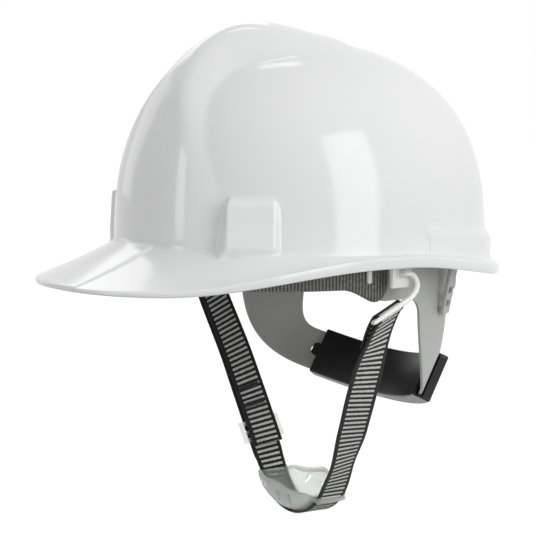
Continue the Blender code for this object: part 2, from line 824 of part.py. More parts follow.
def sweat_section(turn):
    """Folded pad round the headband: skin outside, fold below, pad inside."""
    low = band_bottom(turn) - CLEARANCE
    outside = CLEARANCE
    inside = -BAND_THICKNESS - CLEARANCE
    outline = [
        (outside, SWEAT_OUTER_TOP),
        (outside + SWEAT_SKIN, SWEAT_OUTER_TOP),
        (outside + SWEAT_SKIN, low - SWEAT_FOLD / 2),
        (outside, low - SWEAT_FOLD),
        (inside, low - SWEAT_FOLD),
        (inside - SWEAT_PAD, low),
        (inside - SWEAT_PAD, BAND_TOP - SWEAT_PAD),
        (inside - SWEAT_PAD / 2, BAND_TOP),
        (inside, BAND_TOP),
        (inside, low),
        (outside, low),
    ]
    return [band_point(turn, z, offset) for offset, z in outline]


def build_sweatband(finish):
    left = FRONT_TURNS + [SWEAT_END]
    turns = [-turn for turn in reversed(left)] + left[1:]
    mesh = loft_mesh("sweatband", [sweat_section(turn) for turn in turns])
    add_object("sweatband", mesh, finish, PARTS)


def build_studs(finish):
    """Small studs that hold the sweatband's ends on the headband."""
    for side_name, side in SIDES:
        face = band_point(STUD_TURN * side, 0.0, CLEARANCE * 2 + SWEAT_SKIN)
        outward = plan_normal(STUD_TURN * side, BAND_HALF_WIDTH, BAND_FRONT, BAND_REAR)
        place = axes_matrix(face + UP * SWEAT_OUTER_TOP / 3, outward.cross(UP), outward, UP)
        profile = [(0, 0), (STUD_RADIUS, 0), (STUD_RADIUS * HEAD_TAPER, STUD_REACH), (0, STUD_REACH)]
        turned(side_name + "_sweatband_stud", profile, place, finish, 12)


def sleeve_tooth(side):
    """A tongue of the sleeve's inner wall, standing out over the strap's holes."""
    low = SLEEVE_RADIUS - SLEEVE_DEPTH / 2 + TOOTH_INSET
    high = SLEEVE_RADIUS - SLEEVE_DEPTH / 2 + SLEEVE_WALL - TOOTH_INSET
    half = TOOTH_WIDTH / 2
    section = [(low, -half), (high, -half), (high, half), (low, half)]
    ends = [SLEEVE_HALF_ANGLE + reach / SLEEVE_RADIUS for reach in (-SLEEVE_WALL, TOOTH_REACH)]
    return loft_mesh("tooth", [[sleeve_point(side * a, r, h) for r, h in section] for a in ends])


def build_nape_sleeve(finish, pivot):
    """A flat curved tube, open at both ends."""
    half = SLEEVE_HEIGHT / 2
    slot = half - SLEEVE_WALL
    low = SLEEVE_RADIUS - SLEEVE_DEPTH / 2
    high = SLEEVE_RADIUS + SLEEVE_DEPTH / 2
    inner, outer = low + SLEEVE_WALL, high - SLEEVE_WALL
    shape = bmesh.new()
    outside = [(low, -half), (high, -half), (high, half), (low, half)]
    bore = [(inner, -slot), (outer, -slot), (outer, slot), (inner, slot)]
    angles = spread(-SLEEVE_HALF_ANGLE, SLEEVE_HALF_ANGLE, SLEEVE_STEPS)
    rings = []
    for a in angles:
        points = [[sleeve_point(a, r, h) for r, h in loop] for loop in (outside, bore)]
        rings.append([[shape.verts.new(p) for p in loop] for loop in points])
    for near, far in zip(rings, rings[1:]):
        for loop in (0, 1):
            for i in range(4):
                j = (i + 1) % 4
                shape.faces.new((near[loop][i], near[loop][j], far[loop][j], far[loop][i]))
    for ring in (rings[0], rings[-1]):
        for i in range(4):
            j = (i + 1) % 4
            shape.faces.new((ring[0][i], ring[0][j], ring[1][j], ring[1][i]))
    bmesh.ops.recalc_face_normals(shape, faces=shape.faces)
    mesh = bpy.data.meshes.new("nape_sleeve")
    shape.to_mesh(mesh)
    shape.free()
    sleeve = add_object("nape_sleeve", mesh, finish, PARTS, pivot)
    for side_name, side in SIDES:
        combine(sleeve, cutter(side_name + "_tooth", sleeve_tooth(side)), "UNION")


def crown_strap_seat(side, turn):
    """Where a crown strap stands on a key's foot, just outside the peg's head, and its width there."""
    place = key_frame(side, turn)
    head = -hanger_reach(turn) + 2 * CLEARANCE + KEY_THICKNESS + PEG_HEAD
    foot = key_foot() + KEY_THICKNESS + CLEARANCE
    seat = Vector((0, head + 4 * CLEARANCE + CROWN_STRAP_THICKNESS / 2, foot))
    return place @ seat, place.col[0].xyz * side


def build_crown_straps(finish):
    """Two woven straps from key to key, one crossing over the other."""
    for name, side, lift in (("lower_crown_strap", 1, 0.0), ("upper_crown_strap", -1, 1.0)):
        front, front_way = crown_strap_seat(side, FRONT_KEY_TURN)
        rear, rear_way = crown_strap_seat(-side, REAR_KEY_TURN)
        top = CROWN_HEIGHT - CROWN_STRAP_GAP + lift * (CROWN_STRAP_THICKNESS + 2 * CLEARANCE)
        run = rear - front
        across = Vector((run.y, -run.x, 0)).normalized()
        front_way = front_way if front_way.dot(across) > 0 else -front_way
        rear_way = rear_way if rear_way.dot(across) > 0 else -rear_way
        rows = []
        for angle in spread(0.0, pi, CROWN_STRAP_STEPS):
            share = (1 - cos(angle)) / 2
            bulge = (1 - abs(2 * share - 1) ** CROWN_STRAP_FALL) ** CROWN_STRAP_ROUND
            centre = front.lerp(rear, share)
            centre.z += (top - centre.z) * bulge
            way = front_way.lerp(across, smooth(share, 0.0, CROWN_STRAP_TWIST))
            way = way.lerp(rear_way, smooth(share, 1 - CROWN_STRAP_TWIST, 1.0))
            half = way.normalized() * CROWN_STRAP_WIDTH / 2
            rows.append([centre - half, centre + half])
        strap = add_object(name, grid_mesh(name, rows), finish, PARTS)
        thicken(strap, CROWN_STRAP_THICKNESS, 0)


# Chin strap


def build_lug(side_name, side, finish):
    """A tab plugged up into the shell's side pocket, with the hook's eye below the rim."""
    place = lug_frame(side)
    root = place.translation.z
    low = (-LUG_WIDTH / 2, -LUG_INSET - LUG_THICKNESS, LUG_BOTTOM - root)
    high = (LUG_WIDTH / 2, -LUG_INSET, LUG_RISE)
    name = side_name + "_strap_lug"
    lug = add_object(name, box_mesh(name, low, high, place), finish, PARTS)
    end = Vector((side * HOOK_X, LUG_Y, PIVOT_Z))
    start = end - ACROSS * side * (LUG_INSET + LUG_THICKNESS + CUT_OVERRUN)
    eye = cylinder_mesh(name, start, end, HOOK_RADIUS + CLEARANCE)
    combine(lug, cutter(name + "_eye", eye), "DIFFERENCE")


def lug_inner_face():
    turn = degrees(acos(-LUG_Y / REAR_LENGTH))
    return dome_point(turn, 90).x - LUG_INSET - LUG_THICKNESS


def hook_path():
    """Left hook's centre line with radii: headed pin, J bend, then the webbing bar."""
    face = lug_inner_face() - CLEARANCE
    pin = [
        (Vector((face - HOOK_RADIUS, LUG_Y, PIVOT_Z)), HOOK_HEAD_RADIUS),
        (Vector((face - CLEARANCE / 3, LUG_Y, PIVOT_Z)), HOOK_HEAD_RADIUS),
        (Vector((face, LUG_Y, PIVOT_Z)), HOOK_RADIUS),
        (Vector((HOOK_X - HOOK_RADIUS, LUG_Y, PIVOT_Z)), HOOK_RADIUS),
        (Vector((HOOK_X, LUG_Y + HOOK_RADIUS, PIVOT_Z)), HOOK_RADIUS),
    ]
    pulls = [Vector((HOOK_X, *pull)) for pull in HOOK_PULL]
    rear = Vector((HOOK_X, *BAR_REAR))
    bend = [cubic(pin[-1][0], *pulls, rear, share) for share in spread(0.0, 1.0, HOOK_STEPS)[1:]]
    return pin + [(point, HOOK_RADIUS) for point in bend + [Vector((HOOK_X, *BAR_FRONT))]]


def build_hook(side_name, side, finish, pivot):
    name = side_name + "_strap_hook"
    curve = bpy.data.curves.new(name, "CURVE")
    curve.dimensions = "3D"
    curve.bevel_depth = 1.0
    curve.bevel_resolution = 4
    curve.use_fill_caps = True
    path = hook_path()
    spline = curve.splines.new("POLY")
    spline.points.add(len(path) - 1)
    for point, (place, radius) in zip(spline.points, path):
        point.co = (place.x * side, place.y, place.z, 1)
        point.radius = radius
    guide = bpy.data.objects.new(name + "_path", curve)
    CUTTERS.objects.link(guide)
    bpy.context.view_layer.update()
    mesh = bpy.data.meshes.new_from_object(guide.evaluated_get(bpy.context.evaluated_depsgraph_get()))
    bpy.data.objects.remove(guide)
    shape = bmesh.new()
    shape.from_mesh(mesh)
    bmesh.ops.remove_doubles(shape, verts=shape.verts, dist=MERGE)
    bmesh.ops.recalc_face_normals(shape, faces=shape.faces)
    shape.to_mesh(mesh)
    shape.free()
    add_object(name, mesh, finish, PARTS, pivot)


def bar_direction():
    return Vector((0, BAR_FRONT[0] - BAR_REAR[0], BAR_FRONT[1] - BAR_REAR[1])).normalized()


def bar_centre(side):
    y = (BAR_FRONT[0] + BAR_REAR[0]) / 2
    z = (BAR_FRONT[1] + BAR_REAR[1]) / 2
    return Vector((side * HOOK_X, y, z))


def loop_radius():
    return HOOK_RADIUS + CLEARANCE + WEBBING_THICKNESS / 2


def arc_centre():
    return Vector((0, CUP_Y, CUP_AXIS_Z))


def arc_point(angle, radius, y=CUP_Y):
    """A point of the strap's bottom arc; angle 0 is lowest, positive towards the left."""
    return Vector((radius * sin(angle), y, CUP_AXIS_Z - radius * cos(angle)))


def tangent_angle(start):
    """Angle at which a straight run from start meets the bottom arc."""
    offset = start - arc_centre()
    distance = sqrt(offset.x**2 + offset.z**2)
    bearing = atan2(abs(offset.x), -offset.z)
    return bearing - acos(STRAP_ARC_RADIUS / distance)


def leg_start(side):
    """Where a leg leaves its bar: the near leg outside it, the far leg inside it."""
    return loop_over(side, [-side * LEG_LEAN])[0]


def leg_end(side):
    return arc_point(side * tangent_angle(leg_start(side)), STRAP_ARC_RADIUS)


def leg_inward(side):
    """Direction square to a leg, towards the middle for the near leg and away for the far leg."""
    run = (leg_end(side) - leg_start(side)).normalized()
    return Vector((-run.z, 0, run.x)).normalized() * -1


def layer_gap():
    """Distance between the middles of the strap's two layers at the buckle."""
    return WEBBING_THICKNESS + BUCKLE_BAR + 2 * CLEARANCE


def loop_over(side, angles):
    """Points over a hook's bar, from angle 0 at +X."""
    rise = ACROSS.cross(bar_direction())
    if rise.z < 0:
        rise = -rise
    return [
        bar_centre(side) + (ACROSS * cos(a) + rise * sin(a)) * loop_radius() for a in angles
    ]


def webbing_path():
    """Centre line of the whole strap, from the sewn end to the tail, with its width directions."""
    bar_way = bar_direction()
    level = Vector((0, -1, 0))
    near_start, far_start = leg_start(1), leg_start(-1)
    near_run = leg_end(1) - near_start
    far_run = far_start - leg_end(-1)
    sewn_gap = WEBBING_THICKNESS + CLEARANCE
    path = []

    def add(point, tilt):
        path.append((point, (bar_way * tilt + level * (1 - tilt)).normalized()))

    def tilt_at(drop):
        return 1 - smooth(drop, 0.0, LEG_TILT_LENGTH)

    sewn_end = near_start + near_run.normalized() * SEWN_LENGTH + leg_inward(1) * sewn_gap
    sewn_top = loop_over(1, [pi - LEG_LEAN])[0]
    for share in spread(0.0, 1.0, 3)[:-1]:
        add(sewn_end.lerp(sewn_top, share), tilt_at(SEWN_LENGTH * (1 - share)))
    for point in loop_over(1, spread(pi - LEG_LEAN, -LEG_LEAN, LOOP_STEPS)):
        add(point, 1.0)
    for share in spread(0.0, 1.0, LEG_STEPS)[1:-1]:
        bow = leg_inward(1) * LEG_BOW * sin(pi * share)
        add(near_start + near_run * share - bow, tilt_at(near_run.length * share))
    for angle in spread(tangent_angle(near_start), -tangent_angle(far_start), ARC_STEPS):
        add(arc_point(angle, STRAP_ARC_RADIUS), 0.0)
    for share in spread(0.0, 1.0, LEG_STEPS)[1:-1]:
        add(leg_end(-1) + far_run * share, tilt_at(far_run.length * (1 - share)))
    for point in loop_over(-1, spread(LEG_LEAN, pi + LEG_LEAN, LOOP_STEPS)):
        add(point, 1.0)
    tail_top = loop_over(-1, [pi + LEG_LEAN])[0]
    tail_run = far_run.length - BUCKLE_ALONG + BUCKLE_LENGTH / 2 + RETURN_TAIL
    down = -far_run.normalized()
    for along in spread(0.0, tail_run, TAIL_STEPS)[1:]:
        settled = smooth(along, 0.0, TAIL_BOW_LENGTH / 2)
        gap = layer_gap() + TAIL_BOW * sin(pi * min(along / TAIL_BOW_LENGTH, 1.0))
        parallel = far_start + down * along - leg_inward(-1) * gap
        add((tail_top + down * along).lerp(parallel, settled), tilt_at(along))
    return path


def build_webbing(finish, pivot):
    rows = []
    for point, way in webbing_path():
        half = way * WEBBING_WIDTH / 2
        rows.append([point - half, point + half])
    strap = add_object("chin_webbing", grid_mesh("chin_webbing", rows), finish, PARTS, pivot)
    thicken(strap, WEBBING_THICKNESS, 0)


def buckle_frame():
    """Frame on the far leg: X along the bars, Y across the layers, Z up the strap."""
    run = (leg_start(-1) - leg_end(-1)).normalized()
    across = -leg_inward(-1)
    centre = leg_end(-1) + run * BUCKLE_ALONG + across * layer_gap() / 2
    return axes_matrix(centre, across.cross(run), across, run)


def build_buckle(finish, pivot):
    """Three bars between the strap's layers, joined by rails outside its edges."""
    place = buckle_frame()
    half_length = BUCKLE_LENGTH / 2
    inner = WEBBING_WIDTH / 2 + 3 * CLEARANCE
    outer = inner + BUCKLE_RAIL
    thick = BUCKLE_BAR / 2
    low = (-outer, -thick, -half_length)
    high = (outer, thick, half_length)
    buckle = add_object("strap_buckle", box_mesh("strap_buckle", low, high, place), finish, PARTS, pivot)
    near = BUCKLE_BAR / 2
    far = half_length - 2 * BUCKLE_BAR
    for name, start, end in (("upper_window", near, far), ("lower_window", -far, -near)):
        cut = box_mesh(name, (-inner, -CUT_OVERRUN, start), (inner, CUT_OVERRUN, end), place)
        combine(buckle, cutter(name, cut), "DIFFERENCE")


def cup_seat():
    """Radius of the cup's outer face along the middle of the strap."""
    return STRAP_ARC_RADIUS - WEBBING_THICKNESS / 2 - CLEARANCE


def cup_point(share, across):
    """Outer face of the bowl: share runs from end to end, across from side to side, both -1 to 1."""
    width = CUP_HALF_WIDTH * (1 - (1 - CUP_END_SHARE) * share**4)
    rise = CUP_SIDE_RISE * (1 - share**2)
    swing = across * pi / 2
    radius = cup_seat() - rise * (1 - cos(swing))
    return arc_point(CUP_TILT + CUP_HALF_ANGLE * share, radius, CUP_Y + width * sin(swing))


def cup_vent(share):
    """A slot through both of the bowl's walls, its length towards the arc's centre."""
    front, rear = (cup_point(share, across) for across in (-VENT_ACROSS, VENT_ACROSS))
    angle = CUP_TILT + CUP_HALF_ANGLE * share
    along = Vector((cos(angle), 0, sin(angle)))
    inward = Vector((-sin(angle), 0, cos(angle)))
    straight = VENT_LENGTH / 2 - VENT_RADIUS
    outline = []
    for swing in spread(0.0, 2 * pi, VENT_SIDES)[:-1]:
        shift = straight if sin(swing) > 0 else -straight
        outline.append(along * VENT_RADIUS * cos(swing) + inward * (VENT_RADIUS * sin(swing) + shift))
    overrun = Vector((0, CUP_HALF_WIDTH, 0))
    ends = (front - overrun, rear + overrun)
    return loft_mesh("vent", [[end + p for p in outline] for end in ends])


def build_cup(finish, pivot):
    """An oval bowl on the strap's arc, with vents in its walls and a slotted lip at each end."""
    rows = [[cup_point(share, across) for across in spread(-1, 1, 12)] for share in spread(-1, 1, 16)]
    bowl = grid_mesh("chin_cup", rows)
    cup = add_object("chin_cup", bowl, finish, PARTS, pivot)
    middle = bowl.polygons[len(bowl.polygons) // 2]
    thicken(cup, CUP_WALL, 1 if middle.normal.z > 0 else -1)
    for count, share in enumerate(VENT_SHARES):
        combine(cup, cutter(f"vent_{count}", cup_vent(share)), "DIFFERENCE")
    half_slot = WEBBING_WIDTH / 2 + CLEARANCE
    gap = WEBBING_THICKNESS / 2 + CLEARANCE
    thick = CUP_LIP_THICKNESS / 2
    for side_name, side in SIDES:
        angle = CUP_TILT + side * (CUP_HALF_ANGLE - thick / STRAP_ARC_RADIUS)
        out = Vector((sin(angle), 0, -cos(angle)))
        along = Vector((cos(angle), 0, sin(angle)))
        place = axes_matrix(arc_point(angle, STRAP_ARC_RADIUS), along, Vector((0, 1, 0)), out)
        name = side_name + "_lip"
        low = (-thick, -half_slot - CUP_LIP_THICKNESS, cup_seat() - STRAP_ARC_RADIUS - CUP_WALL)
        plate = box_mesh(name, low, (thick, half_slot + CUP_LIP_THICKNESS, CUP_LIP_REACH), place)
        combine(cup, cutter(name, plate), "UNION")
        reach = thick + CUT_OVERRUN
        slot = box_mesh(name, (-reach, -half_slot, -gap), (reach, half_slot, gap + CUP_SLIP), place)
        combine(cup, cutter(name + "_slot", slot), "DIFFERENCE")


for old in list(bpy.data.objects):
    bpy.data.objects.remove(old)
PARTS = bpy.data.collections.new("hard_hat")
CUTTERS = bpy.data.collections.new("cutters")
bpy.context.scene.collection.children.link(PARTS)
bpy.context.scene.collection.children.link(CUTTERS)

WHITE_SHELL = material("moulded_white", (0.80, 0.81, 0.80), 0.22)
GREY_BAND = material("moulded_grey", (0.55, 0.56, 0.55), 0.45)
DARK_SWEAT = material("ribbed_dark_cloth", (0.05, 0.05, 0.05), 0.85)
BLACK_SLEEVE = material("glossy_black", (0.012, 0.012, 0.012), 0.25)
WHITE_NYLON = material("white_nylon", (0.85, 0.85, 0.83), 0.35)
WEBBING = material("striped_webbing", (0.12, 0.12, 0.12), 0.8)
CROWN_WEBBING = material("white_webbing", (0.6, 0.6, 0.58), 0.85)
MILKY = material("milky_plastic", (0.85, 0.86, 0.86), 0.3)

build_shell(WHITE_SHELL)
build_headband(GREY_BAND)
build_sweatband(DARK_SWEAT)
build_studs(WHITE_NYLON)
build_crown_straps(CROWN_WEBBING)
for key_name, key_side, key_turn, key_inset in POCKETS:
    build_key(key_name + "_key", key_side, key_turn, key_inset, WHITE_NYLON)
    build_peg(key_name + "_peg", key_side, key_turn, WHITE_NYLON)

SLEEVE_PIVOT = pivot_empty("nape_sleeve_axis", sleeve_frame().translation)
build_nape_sleeve(BLACK_SLEEVE, SLEEVE_PIVOT)

SWING_PIVOT = pivot_empty("chin_strap_axis", Vector((0, LUG_Y, PIVOT_Z)))
CUP_PIVOT = pivot_empty("chin_cup_axis", arc_centre())
for lug_side_name, lug_side in SIDES:
    build_lug(lug_side_name, lug_side, WHITE_NYLON)
    build_hook(lug_side_name, lug_side, WHITE_NYLON, SWING_PIVOT)
build_webbing(WEBBING, SWING_PIVOT)
build_buckle(MILKY, SWING_PIVOT)
build_cup(MILKY, CUP_PIVOT)
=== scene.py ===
"""Looks of a white hard hat with a suspension, nape sleeve and chin strap.

Metres, +Z up, the front of the hat towards -Y and the wearer's left towards +X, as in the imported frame.
A turn is an angle in degrees round the head's axis: 0 at the front, 90 at the wearer's left, 180 at the rear.
"""
from __future__ import annotations

import logging
import sys
from dataclasses import dataclass, field
from enum import Enum
from math import acos, atan2, cos, degrees, pi, radians, sin, sqrt
from typing import TypeVar

import bmesh
import bpy
from bpy.types import Material, Node, NodeSocket, NodeTree, Object
from mathutils import Matrix, Vector

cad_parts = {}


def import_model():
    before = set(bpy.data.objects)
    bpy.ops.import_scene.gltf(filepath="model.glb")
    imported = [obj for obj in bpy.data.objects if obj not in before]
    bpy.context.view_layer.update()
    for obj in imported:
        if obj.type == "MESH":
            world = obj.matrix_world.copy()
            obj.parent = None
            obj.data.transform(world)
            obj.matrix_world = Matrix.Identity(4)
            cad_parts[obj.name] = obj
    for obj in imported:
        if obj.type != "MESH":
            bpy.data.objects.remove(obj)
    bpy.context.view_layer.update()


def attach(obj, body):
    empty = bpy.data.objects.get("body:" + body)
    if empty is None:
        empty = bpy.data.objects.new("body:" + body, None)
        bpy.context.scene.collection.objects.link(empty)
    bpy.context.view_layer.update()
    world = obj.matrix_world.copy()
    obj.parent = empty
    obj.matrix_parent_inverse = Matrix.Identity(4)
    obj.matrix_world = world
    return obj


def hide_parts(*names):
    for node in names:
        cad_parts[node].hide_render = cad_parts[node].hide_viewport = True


LOG = logging.getLogger("hard_hat")
UP = Vector((0, 0, 1))
ACROSS = Vector((1, 0, 0))
WHITE = (1, 1, 1, 1)
MM = 0.001
WELD = 1e-7

Place = TypeVar("Place", float, Vector)
Line = list[tuple[Vector, Vector]]
Inputs = dict | None


class Body(Enum):
    """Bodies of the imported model."""

    HAT = "hat"
    STRAP = "chin_strap"
    CUP = "chin_cup"
    BUCKLE = "strap_buckle"
    SLEEVE = "nape_sleeve"


class Slot(Enum):
    """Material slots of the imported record."""

    SHELL = "moulded_white"
    BAND = "moulded_grey"
    CLOTH = "ribbed_dark_cloth"
    NYLON = "white_nylon"
    CROWN = "white_webbing"
    SLEEVE = "glossy_black"
    TAPE = "striped_webbing"
    MILKY = "milky_plastic"


class Side(Enum):
    """The wearer's two sides, with the sign of their X."""

    LEFT = 1
    RIGHT = -1

    @property
    def word(self) -> str:
        """Lower-case name of the side."""
        return self.name.lower()


class End(Enum):
    """The hat's two ends, with their place in the keys' lists."""

    FRONT = 0
    REAR = 1

    @property
    def word(self) -> str:
        """Lower-case name of the end."""
        return self.name.lower()


# Shared sums


def clamp(value: float) -> float:
    """A value held between 0 and 1."""
    return min(max(value, 0.0), 1.0)


def smooth(value: float, low: float = 0.0, high: float = 1.0) -> float:
    """Ease from 0 at low to 1 at high."""
    share = clamp((value - low) / (high - low))
    return share * share * (3 - 2 * share)


def spread(first: float, last: float, count: int) -> list[float]:
    """Even steps from first to last, count + 1 of them."""
    return [first + (last - first) * i / count for i in range(count + 1)]


def between(stations: tuple, place: float) -> float:
    """A value eased from station to station, each a (place, value) pair in order."""
    value = stations[0][1]
    for (low, _), (high, after) in zip(stations, stations[1:]):
        value += (after - value) * smooth(place, low, high)
    return value


def cubic(a: Place, b: Place, c: Place, d: Place, share: float) -> Place:
    """A value or point of the curve from a to d that is pulled towards b and c."""
    rest = 1 - share
    return a * rest**3 + b * 3 * rest**2 * share + c * 3 * rest * share**2 + d * share**3


def corner(before: Vector, tip: Vector, after: Vector, count: int) -> list[Vector]:
    """Points of a rounded corner, from before to after, both included."""
    return [before.lerp(tip, s).lerp(tip.lerp(after, s), s) for s in spread(0.0, 1.0, count)]


def frame_of(origin: Vector, x: Vector, y: Vector, z: Vector) -> Matrix:
    """A frame with the given directions as its columns."""
    made = Matrix((x, y, z)).transposed().to_4x4()
    made.translation = origin
    return made


def flip(side: Side, point: Vector) -> Vector:
    """A left-hand point put on the given side."""
    return Vector((point.x * side.value, point.y, point.z))


@dataclass(frozen=True)
class Oval:
    """A plan outline of two half ellipses, one to the front and one to the rear."""

    half_width: float
    front: float
    rear: float

    def length(self, turn: float) -> float:
        """Half axis towards the end that a turn faces."""
        return self.front if cos(radians(turn)) > 0 else self.rear

    def point(self, turn: float, height: float, reach: float = 1.0) -> Vector:
        """A point at a height, and at a share of the way out to the outline."""
        angle = radians(turn)
        x, y = self.half_width * sin(angle), -self.length(turn) * cos(angle)
        return Vector((x * reach, y * reach, height))

    def normal(self, turn: float) -> Vector:
        """Outward direction of the outline."""
        angle = radians(turn)
        return Vector((sin(angle) / self.half_width, -cos(angle) / self.length(turn), 0)).normalized()


class Form:
    """A mesh in the making, with a map of its surface in metres."""

    # A bar's rounded end: its tip's width and how far it stands out, as shares of the bar's radius
    TIP_WIDTH = 0.55
    TIP_REACH = 0.5

    def __init__(self) -> None:
        """Start an empty mesh."""
        self.shape = bmesh.new()
        self.map = self.shape.loops.layers.uv.new("UVMap")

    def sheet(
        self, rows: list[list[Vector]], closed: bool = False, marks: list[list[tuple]] | None = None
    ) -> list[list[bmesh.types.BMVert]]:
        """Add quads through rows of points.

        Args:
            rows: rows of like length.
            closed: whether each row joins its own start.
            marks: a place on the surface's map for each point, in metres.

        Returns:
            The rows of new vertices.
        """
        made = [[self.shape.verts.new(p) for p in row] for row in rows]
        count = len(rows[0])
        for r, (upper, lower) in enumerate(zip(made, made[1:])):
            for i in range(count if closed else count - 1):
                j = (i + 1) % count
                face = self.shape.faces.new((upper[i], lower[i], lower[j], upper[j]))
                if marks:
                    places = (marks[r][i], marks[r + 1][i], marks[r + 1][j], marks[r][j])
                    for loop, place in zip(face.loops, places):
                        loop[self.map].uv = place
        return made

    def loft(self, sections: list[list[Vector]], marks: list[list[tuple]] | None = None) -> None:
        """Add a closed solid through like closed sections."""
        made = self.sheet(sections, True, marks)
        self.shape.faces.new(list(reversed(made[0])))
        self.shape.faces.new(made[-1])

    def tube(self, path: list[Vector], radii: list[float], sides: int = 20) -> None:
        """Add a round bar along a path, with rounded ends.

        Args:
            path: points of its centre line.
            radii: its radius at each point.
            sides: faces round it.
        """
        points = [path[0] * 2 - path[1]] + path + [path[-1] * 2 - path[-2]]
        rings = []
        side = None
        for i, radius in enumerate(radii):
            way = (points[i + 2] - points[i]).normalized()
            side = way.orthogonal() if side is None else side - way * side.dot(way)
            side = side.normalized()
            over = way.cross(side)
            rings.append((path[i], radius, side, over, way))
        sections = []
        for place, radius, side, over, way in (rings[0], *rings, rings[-1]):
            turns = spread(0.0, 2 * pi, sides)[:-1]
            sections.append([place + (side * cos(t) + over * sin(t)) * radius for t in turns])
        for end, sign in ((0, -1), (-1, 1)):
            place, radius, _, _, way = rings[end]
            reach = way * radius * self.TIP_REACH * sign
            sections[end] = [place + (p - place) * self.TIP_WIDTH + reach for p in sections[end]]
        self.loft(sections)

    def box(self, low: tuple, high: tuple, place: Matrix, edge: float, steps: int = 3) -> None:
        """Add a box between two corners of its frame, its edges rounded by the given radius."""
        made = bmesh.ops.create_cube(self.shape, size=1)["verts"]
        size = Vector(high) - Vector(low)
        fit = place @ Matrix.Translation((Vector(high) + Vector(low)) / 2) @ Matrix.Diagonal((*size, 1))
        bmesh.ops.transform(self.shape, matrix=fit, verts=made)
        edges = list(dict.fromkeys(e for v in made for e in v.link_edges))
        bmesh.ops.bevel(self.shape, geom=edges, offset=edge, segments=steps, profile=0.5, affect="EDGES")

    def fan(self, tip: Vector, ring: list[bmesh.types.BMVert]) -> None:
        """Close a ring of vertices with faces that meet in one point."""
        top = self.shape.verts.new(tip)
        for i, vert in enumerate(ring):
            self.shape.faces.new((top, vert, ring[(i + 1) % len(ring)]))

    def turned(self, profile: list[tuple[float, float]], place: Matrix, sides: int = 32) -> None:
        """Add a solid turned about its frame's Y axis, from (radius, height) points on and off the axis."""
        rings = []
        for turn in spread(0.0, 2 * pi, sides)[:-1]:
            rings.append([place @ Vector((r * cos(turn), y, r * sin(turn))) for r, y in profile[1:-1]])
        made = self.sheet([list(ring) for ring in zip(*rings)], True)
        for end, ring in ((profile[0], made[0]), (profile[-1], made[-1])):
            self.fan(place @ Vector((0, end[1], 0)), ring)

    def ladder(self, xs: list[float], zs: list[float], thick: float, place: Matrix) -> None:
        """Add a flat plate with two windows.

        Args:
            xs: the four lines across it, from side to window to side.
            zs: the six lines along it, from end to window to end.
            thick: its thickness.
            place: its frame, with Y square to it.
        """
        cells = {(i, j) for i in range(3) for j in range(5)} - {(1, 1), (1, 3)}
        corners = {}
        for i, x in enumerate(xs):
            for j, z in enumerate(zs):
                for level in (-1, 1):
                    point = place @ Vector((x, level * thick / 2, z))
                    corners[i, j, level] = self.shape.verts.new(point)
        for i, j in cells:
            ring = ((i, j), (i + 1, j), (i + 1, j + 1), (i, j + 1))
            for level in (-1, 1):
                self.shape.faces.new([corners[(*key, level)] for key in ring])
            beside = ((i, j - 1), (i + 1, j), (i, j + 1), (i - 1, j))
            for cell, a, b in zip(beside, ring, ring[1:] + ring[:1]):
                if cell not in cells:
                    wall = ((*a, -1), (*b, -1), (*b, 1), (*a, 1))
                    self.shape.faces.new([corners[key] for key in wall])

    def round_over(self, radius: float, angle: float = 35.0, steps: int = 3) -> None:
        """Round every edge sharper than an angle in degrees."""
        bmesh.ops.recalc_face_normals(self.shape, faces=self.shape.faces)
        sharp = radians(angle)
        edges = [e for e in self.shape.edges if e.is_manifold and e.calc_face_angle(0.0) > sharp]
        style = {"segments": steps, "profile": 0.5, "affect": "EDGES", "clamp_overlap": True}
        bmesh.ops.bevel(self.shape, geom=edges, offset=radius, **style)

    def piece(self, name: str, sharp: float | None = None) -> Object:
        """Turn the form into an object.

        Args:
            name: the object's name.
            sharp: angle in degrees above which an edge stays hard, or None for a smooth skin.

        Returns:
            The object, linked to the scene.
        """
        bmesh.ops.remove_doubles(self.shape, verts=self.shape.verts, dist=WELD)
        bmesh.ops.recalc_face_normals(self.shape, faces=self.shape.faces)
        mesh = bpy.data.meshes.new(name)
        self.shape.to_mesh(mesh)
        self.shape.free()
        mesh.shade_smooth()
        if sharp is not None:
            mesh.set_sharp_from_angle(angle=radians(sharp))
        made = bpy.data.objects.new(name, mesh)
        bpy.context.scene.collection.objects.link(made)
        return made


def reshape(piece: Object, settings: list[tuple[str, dict]], sharp: float) -> None:
    """Change a piece's mesh by modifiers and keep the result.

    Args:
        piece: the piece to change.
        settings: each modifier's kind with its settings.
        sharp: angle in degrees above which an edge stays hard.
    """
    tools = []
    for kind, values in settings:
        change = piece.modifiers.new(kind.lower(), kind)
        for name, value in values.items():
            setattr(change, name, value)
            if isinstance(value, Object):
                tools.append(value)
    bpy.context.view_layer.update()
    graph = bpy.context.evaluated_depsgraph_get()
    mesh = bpy.data.meshes.new_from_object(piece.evaluated_get(graph))
    piece.modifiers.clear()
    piece.data = mesh
    mesh.shade_smooth()
    mesh.set_sharp_from_angle(angle=radians(sharp))
    for tool in tools:
        bpy.data.objects.remove(tool)


def cut_by(tool: Object) -> tuple[str, dict]:
    """The change that takes a tool's shape out of a piece."""
    return "BOOLEAN", {"operation": "DIFFERENCE", "solver": "EXACT", "object": tool}


def fit_on(piece: Object, finish: Material, body: Body, slot: Slot, *nodes: str) -> Object:
    """Dress a piece and put it on its body.

    Args:
        piece: the piece.
        finish: its material.
        body: the body that carries it.
        slot: the record's material slot; not used.
        nodes: the CAD nodes that it stands for.

    Returns:
        The piece.
    """
    piece.data.materials.clear()
    piece.data.materials.append(finish)
    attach(piece, body.value)
    if nodes:
        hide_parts(*nodes)
    LOG.info("%s rides on %s", piece.name, body.value)
    return piece


# Finishes


